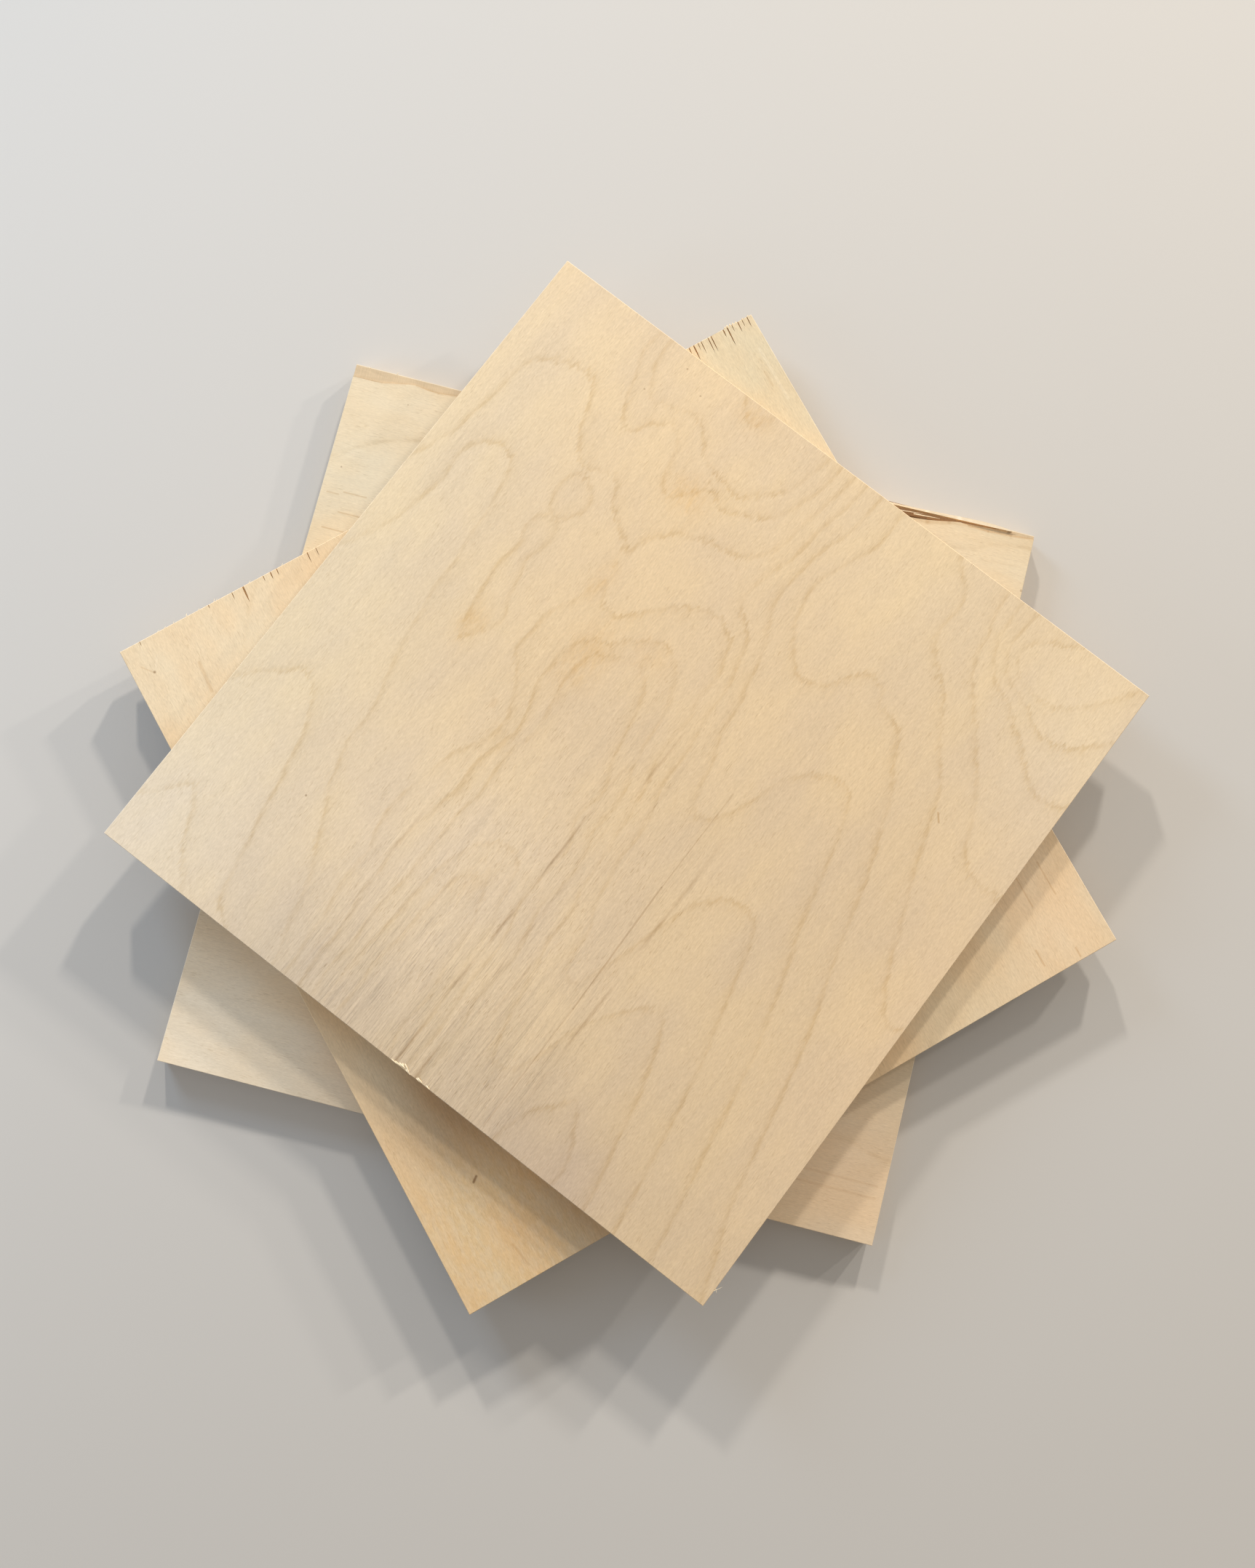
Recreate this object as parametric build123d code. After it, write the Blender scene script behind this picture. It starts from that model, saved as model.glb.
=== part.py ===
from build123d import *
import os

# Three plywood squares, laid face to face and fanned out. All sizes are in millimetres.
# The origin is the centre of the bottom square's underside. +X runs along the grain of the
# bottom square's face, +Y runs across it, and +Z points up.

# The board that the squares were sawn from, and the veneer on each of its faces. The corner
# between a face and a sawn edge is rubbed down by ARRIS.
SHEET_THICKNESS = 9.0
FACE_VENEER = 0.7
ARRIS = 0.2

# Each square as it was sawn, a millimetre or two off a true 12 inch square.
# Length runs along the grain of the face, and width runs across it.
BOTTOM_LENGTH = 303.5
BOTTOM_WIDTH = 306.5
MIDDLE_LENGTH = 305.5
MIDDLE_WIDTH = 303.5
TOP_LENGTH = 305.5
TOP_WIDTH = 304.5

# How the upper squares lie: the centre of each, and the turn of its grain from +X in degrees.
MIDDLE_X = 4.1
MIDDLE_Y = -0.9
MIDDLE_TURN = -46.5
TOP_X = 7.6
TOP_Y = 13.0
TOP_TURN = 66.8

# The torn north edge of the bottom square. Each row is (distance from the corner, distance
# in from the sawn edge) on the line where the face veneer stops.
BARE_WEST = [
    (-1, 5.7),
    (7, 5.9),
    (13, 5.6),
    (18, 4.6),
    (23, 3.7),
    (28, 3.1),
    (33, 3.9),
    (38, 4.0),
    (46, 3.2),
    (58, 2.0),
    (68, -1),
]
BARE_EAST = [(-1, 1.5), (5, 2.3), (10, 2.7), (15, 3.0), (20, 3.3), (25, 3.2), (30, 2.7), (34, 2.1)]

# The split behind it at the east end: its inner side, and the two sides of the splinter that
# stands off over it, bowed out past the sawn edge.
SPLIT_INNER = [
    (90, 1.8),
    (77, 3.6),
    (69, 5.0),
    (60, 5.7),
    (54, 5.6),
    (47, 4.9),
    (40, 3.7),
    (35, 2.7),
    (30, 2.1),
    (23, 1.7),
    (18, 1.2),
    (14, 0.6),
]
SPLINTER_INNER = [(92, 2.1), (64, 2.0), (47, 1.6), (33, 1.3), (25, 1.15), (19, 0.95), (10, 0.7)]
SPLINTER_OUTER = [(92, 1.3), (64, 1.25), (47, 0.7), (33, -0.1), (23, -0.5), (16, -0.3), (10, 0.3)]
SPLIT_INTO_CORE = 2.3
SPLIT_DEPTH = FACE_VENEER + SPLIT_INTO_CORE
SPLINTER_THICKNESS = 1.5

# Cross-cut splits in the face veneer, open at the middle square's north-west edge. Each row is
# (distance along the edge, reach, width), measured from the west or the north corner. A split
# is widest at a quarter of its reach.
SPLITS_FROM_WEST = [
    (9.3, 2.2, 0.3),
    (41.4, 1.8, 0.3),
    (52.4, 3.6, 0.35),
    (57.6, 7.5, 0.8),
    (67.1, 2.7, 0.35),
    (70.5, 3.6, 0.5),
    (73.4, 3.3, 0.4),
    (87.9, 5.2, 0.4),
    (92.0, 4.0, 0.3),
]
SPLITS_FROM_NORTH = [
    (30.8, 3.4, 0.45),
    (28.6, 7.5, 0.6),
    (26.5, 3.6, 0.3),
    (24.9, 6.2, 0.35),
    (21.5, 7.5, 0.4),
    (20.0, 7.9, 0.45),
    (14.0, 3.8, 0.5),
    (12.0, 9.2, 0.55),
    (9.7, 3.6, 0.3),
    (6.8, 5.1, 0.45),
    (4.7, 3.7, 0.3),
    (2.2, 5.2, 0.4),
]
SPLIT_LEAN = 3.5
FACE_SPLIT_DEPTH = 0.5

# Chips out of the top square's south-west edge. Each row is (start, end, reach), with the
# first two measured along the edge from the west corner. A chip reaches furthest at its
# crest, and its shoulder is a lesser point beside that, each at a share of its length.
# Its floor falls from the crest to the sawn edge by CHIP_SLOPE, in degrees.
CHIPS = [
    (148.3, 152.3, 1.0),
    (151.8, 157.2, 2.3),
    (160.8, 163.6, 1.7),
    (165.9, 167.5, 1.2),
]
CHIP_SLOPE = 16
CHIP_CREST_AT = 0.6
CHIP_SHOULDER_AT = 0.3
CHIP_SHOULDER_REACH = 0.7

# How far a cutter runs past the wood that it cuts.
OVERRUN = 3.0


def sawn_square(length, width):
    """A square of board on z = 0, with the arrises of both faces rubbed down."""
    board = Box(length, width, SHEET_THICKNESS, align=(Align.CENTER, Align.CENTER, Align.MIN))
    flats = board.faces().filter_by(Axis.Z)
    return chamfer(flats.edges(), ARRIS)


def from_face(outline, depth, above=OVERRUN):
    """A cutter that goes down from the top face by depth, and starts above it."""
    flat = make_face(outline)
    return Pos(0, 0, SHEET_THICKNESS - depth) * extrude(flat, depth + above, dir=(0, 0, 1))


def on_north_edge(rows, side):
    """Points of the bottom square from rows of distances from its west (-1) or east (+1) corner."""
    return [(side * (BOTTOM_LENGTH / 2 - along), BOTTOM_WIDTH / 2 - inward) for along, inward in rows]


def strip_outside(rows, side):
    """Closed outline between a torn line and the air north of the bottom square."""
    torn = on_north_edge(rows, side)
    clear = BOTTOM_WIDTH / 2 + OVERRUN
    return Spline(*torn) + Polyline(torn[-1], (torn[-1][0], clear), (torn[0][0], clear), torn[0])


def splinter():
    """The long splinter, held at both ends and bowed out between them."""
    outer = on_north_edge(SPLINTER_OUTER, 1)
    inner = on_north_edge(SPLINTER_INNER, 1)
    sides = Spline(*outer) + Spline(*inner)
    ends = Line(outer[0], inner[0]) + Line(outer[-1], inner[-1])
    return from_face(sides + ends, SPLINTER_THICKNESS, above=0)


def make_bottom_sheet():
    sheet = sawn_square(BOTTOM_LENGTH, BOTTOM_WIDTH)
    sheet -= from_face(strip_outside(BARE_WEST, -1), FACE_VENEER)
    sheet -= from_face(strip_outside(BARE_EAST, 1), FACE_VENEER)
    sheet -= from_face(strip_outside(SPLIT_INNER, 1), SPLIT_DEPTH)
    return sheet + splinter()


def split_outline(reach, width):
    """A slit pointed at both ends, that starts in the air at half its reach before the edge."""
    start = -reach / 2
    widest = (start + reach) / 2
    return ThreePointArc((start, 0), (widest, width / 2), (reach, 0)) + ThreePointArc(
        (reach, 0), (widest, -width / 2), (start, 0)
    )


def face_splits(rows, corner):
    """Cutters for splits measured from the west (-1) or north (+1) corner of the middle square."""
    cutters = []
    for along, reach, width in rows:
        mouth = Pos(-MIDDLE_LENGTH / 2, corner * (MIDDLE_WIDTH / 2 - along)) * Rot(0, 0, -SPLIT_LEAN)
        cutters.append(mouth * from_face(split_outline(reach, width), FACE_SPLIT_DEPTH))
    return cutters


def make_middle_sheet():
    sheet = sawn_square(MIDDLE_LENGTH, MIDDLE_WIDTH)
    sheet -= face_splits(SPLITS_FROM_WEST, -1)
    sheet -= face_splits(SPLITS_FROM_NORTH, 1)
    return sheet


def chip(start, end, reach):
    """Cutter for a flake that came off a sawn edge, with its longer side to the north."""
    south = TOP_WIDTH / 2 - end
    north = TOP_WIDTH / 2 - start
    crest = south + CHIP_CREST_AT * (north - south)
    shoulder = south + CHIP_SHOULDER_AT * (north - south)
    outline = Polyline(
        (-reach - OVERRUN, south),
        (-reach, south),
        (-(1 - CHIP_SHOULDER_REACH) * reach, shoulder),
        (0, crest),
        (-reach, north),
        (-reach - OVERRUN, north),
        close=True,
    )
    crest_line = Pos(reach - TOP_LENGTH / 2, 0, SHEET_THICKNESS) * Rot(0, -CHIP_SLOPE, 0)
    return crest_line * extrude(make_face(outline), OVERRUN)


def make_top_sheet():
    sheet = sawn_square(TOP_LENGTH, TOP_WIDTH)
    return sheet - [chip(*row) for row in CHIPS]


middle_place = Pos(MIDDLE_X, MIDDLE_Y, SHEET_THICKNESS) * Rot(0, 0, MIDDLE_TURN)
top_place = Pos(TOP_X, TOP_Y, 2 * SHEET_THICKNESS) * Rot(0, 0, TOP_TURN)
sheets = {
    "bottom_sheet": make_bottom_sheet(),
    "middle_sheet": middle_place * make_middle_sheet(),
    "top_sheet": top_place * make_top_sheet(),
}

os.makedirs("parts", exist_ok=True)
for name, sheet in sheets.items():
    export_step(sheet, f"parts/{name}.step")
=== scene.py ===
import logging
import math
from dataclasses import dataclass
from enum import Enum, IntEnum

import bmesh
import bpy
import numpy as np
from mathutils import Matrix, Vector


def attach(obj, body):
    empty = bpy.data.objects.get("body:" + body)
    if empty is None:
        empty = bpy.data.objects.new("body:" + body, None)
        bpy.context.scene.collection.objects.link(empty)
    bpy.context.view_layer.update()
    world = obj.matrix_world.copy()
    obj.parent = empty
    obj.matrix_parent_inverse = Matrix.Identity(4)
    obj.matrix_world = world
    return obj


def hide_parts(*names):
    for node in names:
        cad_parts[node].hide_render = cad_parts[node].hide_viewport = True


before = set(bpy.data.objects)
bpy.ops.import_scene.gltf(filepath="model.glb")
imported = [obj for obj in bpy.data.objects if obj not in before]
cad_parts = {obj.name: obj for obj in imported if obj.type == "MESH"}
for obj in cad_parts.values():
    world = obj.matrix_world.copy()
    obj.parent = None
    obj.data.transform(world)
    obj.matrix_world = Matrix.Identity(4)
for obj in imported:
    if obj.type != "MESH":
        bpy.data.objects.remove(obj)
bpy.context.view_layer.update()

log = logging.getLogger("plywood")

MM = 0.001
BODY = "root"

Tone = tuple[int, int, int]
Share = tuple[float, float, float]
Spot = tuple[float, float]
Line = tuple[float, tuple[Spot, ...]]


class StainAndPaintedLight(Enum):
    """What a small mark leaves of the red, green and blue of the wood. Some marks are the wood's own
    stains; others are painted shade and painted highlights.
    """

    DARK = (0.42, 0.34, 0.27)
    BROWN = (0.80, 0.71, 0.60)
    GREY = (0.76, 0.71, 0.66)
    ORANGE = (0.98, 0.90, 0.76)
    PALE = (1.12, 1.15, 1.22)
    LIGHT = (1.45, 1.45, 1.40)


@dataclass(frozen=True)
class Mark:
    """A straight mark on a face, in millimetres along and across from the face's own corner."""

    start: Spot
    end: Spot
    half_width: float
    stain_and_painted_light: StainAndPaintedLight
    strength: float = 1.0


@dataclass(frozen=True)
class Patch:
    """A soft patch: its middle, its half sizes along and across the grain, and its strength."""

    middle: Spot
    along: float
    across: float
    strength: float = 1.0


@dataclass(frozen=True)
class Wash:
    """A wide soft wash of colour: its middle, its half sizes, and what it leaves of red, green and
    blue.
    Some washes are the wood's own tone, some painted light and some painted shade.
    """

    middle: Spot
    along: float
    across: float
    left: Share


@dataclass(frozen=True)
class Cells:
    """A noise by its cells in millimetres, the layer that makes it another one, and its detail."""

    length: float
    width: float
    layer: float
    detail: float = 2.0
    rough: float = 0.5


@dataclass(frozen=True)
class Specks:
    """Small marks where a noise is high: where they start, where they are full, and what they leave of
    red, green and blue.
    """

    cells: Cells
    start: float
    full: float
    left: Share


def linear(tone: Tone) -> tuple[float, float, float, float]:
    """Turns a colour as a screen shows it into Blender's linear values.

    Args:
        tone: Red, green and blue, each from 0 to 255.

    Returns:
        Linear red, green and blue, and an alpha of 1.
    """
    parts = [part / 255 for part in tone]
    red, green, blue = (p / 12.92 if p <= 0.04045 else ((p + 0.055) / 1.055) ** 2.4 for p in parts)
    return (red, green, blue, 1.0)


class Signal:
    """A socket of a material, with arithmetic that adds Math nodes."""

    NOISE_MIDDLE = 0.5
    NOISE_LOW = 0.3
    NOISE_HIGH = 0.7

    def __init__(self, wiring: "Wiring", socket: bpy.types.NodeSocket) -> None:
        """Keeps the socket and the material that it belongs to."""
        self.wiring = wiring
        self.socket = socket

    def math(self, operation: str, *others: "Signal | float") -> "Signal":
        """Adds a Math node.

        Args:
            operation: The node's operation.
            others: The second and third inputs, where the operation has them.

        Returns:
            The node's value.
        """
        inputs = dict(enumerate((self, *others)))
        return self.wiring.node("ShaderNodeMath", {"operation": operation}, inputs)

    def __add__(self, other: "Signal | float") -> "Signal":
        """Sum of two values."""
        return self.math("ADD", other)

    def __radd__(self, other: float) -> "Signal":
        """Sum with a number on the left."""
        return self.math("ADD", other)

    def __sub__(self, other: "Signal | float") -> "Signal":
        """Difference of two values."""
        return self.math("SUBTRACT", other)

    def __rsub__(self, other: float) -> "Signal":
        """Number on the left less this value."""
        return self.wiring.node("ShaderNodeMath", {"operation": "SUBTRACT"}, {0: other, 1: self})

    def __mul__(self, other: "Signal | float") -> "Signal":
        """Product of two values."""
        return self.math("MULTIPLY", other)

    def __rmul__(self, other: float) -> "Signal":
        """Product with a number on the left."""
        return self.math("MULTIPLY", other)

    def __truediv__(self, other: "Signal | float") -> "Signal":
        """Quotient of two values."""
        return self.math("DIVIDE", other)

    def most(self, other: "Signal | float") -> "Signal":
        """The larger of two values."""
        return self.math("MAXIMUM", other)

    def least(self, other: "Signal | float") -> "Signal":
        """The smaller of two values."""
        return self.math("MINIMUM", other)

    def whole(self) -> "Signal":
        """The value rounded down."""
        return self.math("FLOOR")

    def part(self) -> "Signal":
        """What is left above the value rounded down."""
        return self.math("FRACT")

    def size(self) -> "Signal":
        """The value without its sign."""
        return self.math("ABSOLUTE")

    def swing(self) -> "Signal":
        """How far a noise is from its middle."""
        return self - self.NOISE_MIDDLE

    def over(self, gain: float, base: float) -> "Signal":
        """This value times a gain, over a base."""
        return self * gain + base

    def spread(self, first: float = 0.0, last: float = 1.0) -> "Signal":
        """Maps the usual range of a noise to another range."""
        return self.between(self.NOISE_LOW, self.NOISE_HIGH, first, last)

    def bell(self, half: float) -> "Signal":
        """A bell curve of this value, which falls to 1/e at half."""
        return (self * self * (-1 / half**2)).math("EXPONENT")

    def fade(self, length: float) -> "Signal":
        """An exponential fall of this value, to 1/e at length."""
        return (self * (-1 / length)).math("EXPONENT")

    def between(self, low: float, high: float, first: float = 0.0, last: float = 1.0) -> "Signal":
        """Maps a range of this value smoothly to another, and holds its ends.

        Args:
            low: Value that gives first.
            high: Value that gives last.
            first: Result at low and before.
            last: Result at high and beyond.

        Returns:
            The mapped value.
        """
        return self.wiring.node(
            "ShaderNodeMapRange",
            {"interpolation_type": "SMOOTHSTEP"},
            {"Value": self, "From Min": low, "From Max": high, "To Min": first, "To Max": last},
        )


class Wiring:
    """The node tree of one material, built around one Principled BSDF.

    A mark is full up to its core, which is a share of its half width.
    """

    SPECULAR = 0.3
    MARK_CORE = 0.2

    def __init__(self, name: str) -> None:
        """Starts an empty material with its shader and output.

        Args:
            name: The material's name.
        """
        self.material = bpy.data.materials.new(name)
        self.material.use_nodes = True
        self.tree = self.material.node_tree
        self.tree.nodes.clear()
        self.shader = self.tree.nodes.new("ShaderNodeBsdfPrincipled")
        self.output = self.tree.nodes.new("ShaderNodeOutputMaterial")
        self.tree.links.new(self.shader.outputs["BSDF"], self.output.inputs["Surface"])

    def join(self, value: Signal | float | tuple, socket: bpy.types.NodeSocket) -> None:
        """Gives a socket its value.

        Args:
            value: A signal to link, or a number, colour or vector to write on the socket.
            socket: The input that takes it.
        """
        if isinstance(value, Signal):
            self.tree.links.new(value.socket, socket)
        else:
            socket.default_value = value

    def node(self, kind: str, settings: dict, inputs: dict, output: int | str = 0) -> Signal:
        """Adds a node.

        Args:
            kind: The node's type.
            settings: Its own settings, which are made first. A ramp's are its stops.
            inputs: Values or signals by the name or number of the socket.
            output: Name or number of the output that is wanted.

        Returns:
            That output.
        """
        node = self.tree.nodes.new(kind)
        for key, value in settings.items():
            if key == "stops":
                self.set_stops(node.color_ramp, value)
            else:
                setattr(node, key, value)
        for key, value in inputs.items():
            self.join(value, node.inputs[key])
        return Signal(self, node.outputs[output])

    @staticmethod
    def set_stops(ramp: bpy.types.ColorRamp, stops: list[tuple[float, float]]) -> None:
        """Gives a ramp its stops.

        Args:
            ramp: The ramp of a new node.
            stops: Position and grey level of each, in order.
        """
        while len(ramp.elements) > 1:
            ramp.elements.remove(ramp.elements[-1])
        for number, (position, grey) in enumerate(stops):
            element = ramp.elements[0] if number == 0 else ramp.elements.new(position)
            element.position = position
            element.color = (grey, grey, grey, 1.0)

    def split(self, vector: Signal) -> tuple[Signal, Signal, Signal]:
        """The three parts of a vector."""
        parts = self.node("ShaderNodeSeparateXYZ", {}, {0: vector}).socket.node.outputs
        return Signal(self, parts[0]), Signal(self, parts[1]), Signal(self, parts[2])

    def vector(self, x: Signal | float, y: Signal | float, z: Signal | float = 0.0) -> Signal:
        """A vector of three parts."""
        return self.node("ShaderNodeCombineXYZ", {}, {0: x, 1: y, 2: z})

    def vector_math(self, operation: str, inputs: dict, output: int | str = 0) -> Signal:
        """Adds a Vector Math node with an operation and inputs."""
        return self.node("ShaderNodeVectorMath", {"operation": operation}, inputs, output)

    def brighten(self, colour: Signal, factor: Signal) -> Signal:
        """A colour times a value."""
        return self.vector_math("SCALE", {0: colour, "Scale": factor})

    def blend(
        self, mask: Signal, colour: Signal | tuple, other: Signal | tuple, kind: str = "MIX"
    ) -> Signal:
        """Blends two colours by a mask.

        Args:
            mask: 0 for the first colour and 1 for the blend with the other.
            colour: The first colour.
            other: The other colour.
            kind: The Mix node's blend type.

        Returns:
            The blended colour.
        """
        settings = {"data_type": "RGBA", "blend_type": kind}
        return self.node("ShaderNodeMix", settings, {0: mask, 6: colour, 7: other}, 2)

    def stain_and_painted_light(self, colour: Signal, mask: Signal, left: Share) -> Signal:
        """Multiplies a colour by the share of red, green and blue that a mark leaves, for stains as
        well as for painted light and shade.
        """
        return self.blend(mask, colour, (*left, 1.0), "MULTIPLY")

    def noise(self, run: Signal, side: Signal, cells: Cells, shift: float = 0.0) -> Signal:
        """Adds a noise.

        Args:
            run: Distance along the length of its cells.
            side: Distance along their width.
            cells: What the noise is like.
            shift: Added to its layer.

        Returns:
            A value about 0.5.
        """
        x = run * (1 / cells.length)
        y = side * (1 / cells.width)
        place = self.vector(x, y, cells.layer + shift)
        inputs = {"Vector": place, "Scale": 1.0, "Detail": cells.detail, "Roughness": cells.rough}
        return self.node("ShaderNodeTexNoise", {"noise_dimensions": "3D"}, inputs, "Fac")

    def specks(self, run: Signal, side: Signal, specks: Specks) -> Signal:
        """Mask of small marks where their noise is high."""
        return self.noise(run, side, specks.cells).between(specks.start, specks.full)

    def flatten(self, spot: Signal) -> Signal:
        """A place on the sheet without its height."""
        return self.vector_math("MULTIPLY", {0: spot, 1: (1.0, 1.0, 0.0)})

    def soft_spot(self, flat: Signal, patch: Patch | Wash) -> Signal:
        """A bell-shaped mask about a place on the face.

        Args:
            flat: Vector of the distances along and across the face, in millimetres.
            patch: The place and its half sizes, where the mask falls to 1/e.

        Returns:
            1 at the middle, falling to 0 around it.
        """
        away = self.vector_math("SUBTRACT", {0: flat, 1: (*patch.middle, 0.0)})
        away = self.vector_math("DIVIDE", {0: away, 1: (patch.along, patch.across, 1.0)})
        return self.vector_math("LENGTH", {0: away}, "Value").bell(1.0)

    def stroke(self, flat: Signal, mark: Mark) -> Signal:
        """A soft mask along a straight mark.

        Args:
            flat: Vector of the distances along and across the face, in millimetres.
            mark: The mark.

        Returns:
            1 on the mark's line, falling to 0 at its half width.
        """
        start = (*mark.start, 0.0)
        run = Vector((*mark.end, 0.0)) - Vector(start)
        if run.length > 0:
            from_start = self.vector_math("SUBTRACT", {0: flat, 1: start})
            scaled = {0: from_start, 1: tuple(run / run.length_squared)}
            share = self.vector_math("DOT_PRODUCT", scaled, "Value").most(0.0).least(1.0)
            nearest = self.vector_math("SCALE", {0: tuple(run), "Scale": share})
            away = self.vector_math("DISTANCE", {0: from_start, 1: nearest}, "Value")
        else:
            away = self.vector_math("DISTANCE", {0: flat, 1: start}, "Value")
        return away.between(self.MARK_CORE * mark.half_width, mark.half_width, 1.0, 0.0)

    def draw(self, colour: Signal, flat: Signal, marks: tuple[Mark, ...]) -> Signal:
        """Puts straight marks on a colour: stains, painted shade and painted highlights.

        Args:
            colour: The colour.
            flat: Vector of the distances along and across the face, in millimetres.
            marks: The marks.

        Returns:
            The stained colour.
        """
        for mark in marks:
            mask = self.stroke(flat, mark) * mark.strength
            colour = self.stain_and_painted_light(colour, mask, mark.stain_and_painted_light.value)
        return colour

    def see_through(self, mask: Signal) -> None:
        """Lets the view through the surface.

        Args:
            mask: 1 where the view goes through.
        """
        solid = Signal(self, self.shader.outputs["BSDF"])
        clear = self.node("ShaderNodeBsdfTransparent", {}, {})
        both = self.node("ShaderNodeMixShader", {}, {0: mask, 1: solid, 2: clear})
        self.join(both, self.output.inputs["Surface"])

    def finish(
        self, colour: Signal, roughness: Signal | float, relief: Signal, depth: float
    ) -> bpy.types.Material:
        """Feeds the shader.

        Args:
            colour: The base colour.
            roughness: The roughness.
            relief: Height of the surface, from 0 to 1.
            depth: What 1 of that height is, in millimetres.

        Returns:
            The finished material.
        """
        self.join(colour, self.shader.inputs["Base Color"])
        self.join(roughness, self.shader.inputs["Roughness"])
        self.shader.inputs["Specular IOR Level"].default_value = self.SPECULAR
        surface = {"Strength": 1.0, "Distance": depth * MM, "Height": relief}
        self.join(self.node("ShaderNodeBump", {}, surface), self.shader.inputs["Normal"])
        return self.material


class RingField:
    """A smooth surface through given growth-ring lines, as a thin plate bent over them.

    Places are counted in spans of so many millimetres, and read in chunks to save memory.
    """

    SPAN = 100.0
    STIFFNESS = 1e-4
    CHUNK = 4000
    CLOSEST = 1e-12

    def __init__(self, lines: tuple[Line, ...]) -> None:
        """Fits the plate.

        Args:
            lines: A ring number and its points for each line.
        """
        spots = [spot for _, points in lines for spot in points]
        rings = [ring for ring, points in lines for _ in points]
        self.knots = np.array(spots, float) / self.SPAN
        count = len(self.knots)
        gap = self.knots[:, None] - self.knots[None]
        plane = np.c_[np.ones(count), self.knots]
        bend = self.kernel((gap**2).sum(-1)) + self.STIFFNESS * np.eye(count)
        left = np.block([[bend, plane], [plane.T, np.zeros((3, 3))]])
        weights = np.linalg.solve(left, np.r_[rings, 0.0, 0.0, 0.0])
        self.pull, self.level, self.tilt = weights[:count], weights[count], weights[count + 1 :]

    def kernel(self, squared: np.ndarray) -> np.ndarray:
        """The bend of a plate at a squared distance from a knot."""
        return squared * np.log(np.maximum(squared, self.CLOSEST))

    def read(self, spots: np.ndarray) -> np.ndarray:
        """Reads the surface.

        Args:
            spots: Rows of distances along and across, in millimetres.

        Returns:
            Rows of ring number, its change per millimetre along the grain, and its whole slope.
        """
        rows = []
        for start in range(0, len(spots), self.CHUNK):
            here = spots[start : start + self.CHUNK] / self.SPAN
            gap = here[:, None] - self.knots[None]
            squared = (gap**2).sum(-1)
            ring = self.kernel(squared) @ self.pull + self.level + here @ self.tilt
            turn = 2 * (np.log(np.maximum(squared, self.CLOSEST)) + 1) * self.pull
            slope = ((gap * turn[..., None]).sum(1) + self.tilt) / self.SPAN
            rows.append(np.c_[ring, slope[:, 0], np.hypot(slope[:, 0], slope[:, 1])])
        return np.concatenate(rows)


@dataclass(frozen=True)
class SheetPlace:
    """How one square lies in the stack, in millimetres and degrees.

    Length runs along the grain of the face, and across is counted from the side that
    from_far names: the far side (+1) or the near side (-1) of the square's own Y axis.
    """

    length: float
    width: float
    middle: Spot
    turn: float
    underside: float
    from_far: int
    thickness: float = 9.0

    def axes(self) -> tuple[Vector, Vector]:
        """Finds the directions that the marks are counted in.

        Returns:
            The directions along the grain and across it.
        """
        angle = math.radians(self.turn)
        along = Vector((math.cos(angle), math.sin(angle), 0.0))
        side = Vector((-math.sin(angle), math.cos(angle), 0.0))
        return along, side * -self.from_far

    def point(self, along: float, across: float, height: float) -> Vector:
        """Places a point of the sheet in the shared frame.

        Args:
            along: Distance along the grain from the sheet's own corner, in millimetres.
            across: Distance across the grain from that corner.
            height: Height over the sheet's underside.

        Returns:
            The place in metres.
        """
        grain, side = self.axes()
        flat = grain * (along - self.length / 2) + side * (across - self.width / 2)
        return (flat + Vector((*self.middle, self.underside + height))) * MM

    def spots(self, places: np.ndarray) -> np.ndarray:
        """Finds where places of the shared frame lie on the sheet.

        Args:
            places: Rows of places in metres.

        Returns:
            Rows of distances along and across, in millimetres.
        """
        grain, side = (np.array(axis) for axis in self.axes())
        offset = places / MM - np.array((*self.middle, 0.0))
        return np.c_[offset @ grain + self.length / 2, offset @ side + self.width / 2]

    def top(self) -> float:
        """Height of the face in metres."""
        return (self.underside + self.thickness) * MM

    def coordinates(self, wiring: Wiring) -> Signal:
        """Adds the nodes that give the place on the sheet.

        Args:
            wiring: The material.

        Returns:
            Vector of (along, across, height) in millimetres from the sheet's corner.
        """
        corner = self.point(0, 0, 0)
        settings = {"vector_type": "TEXTURE"}
        inputs = {
            "Vector": wiring.node("ShaderNodeTexCoord", {}, {}, "Object"),
            "Location": tuple(corner),
            "Rotation": (0.0, 0.0, math.radians(self.turn)),
            "Scale": (MM, -self.from_far * MM, MM),
        }
        return wiring.node("ShaderNodeMapping", settings, inputs)


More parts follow.
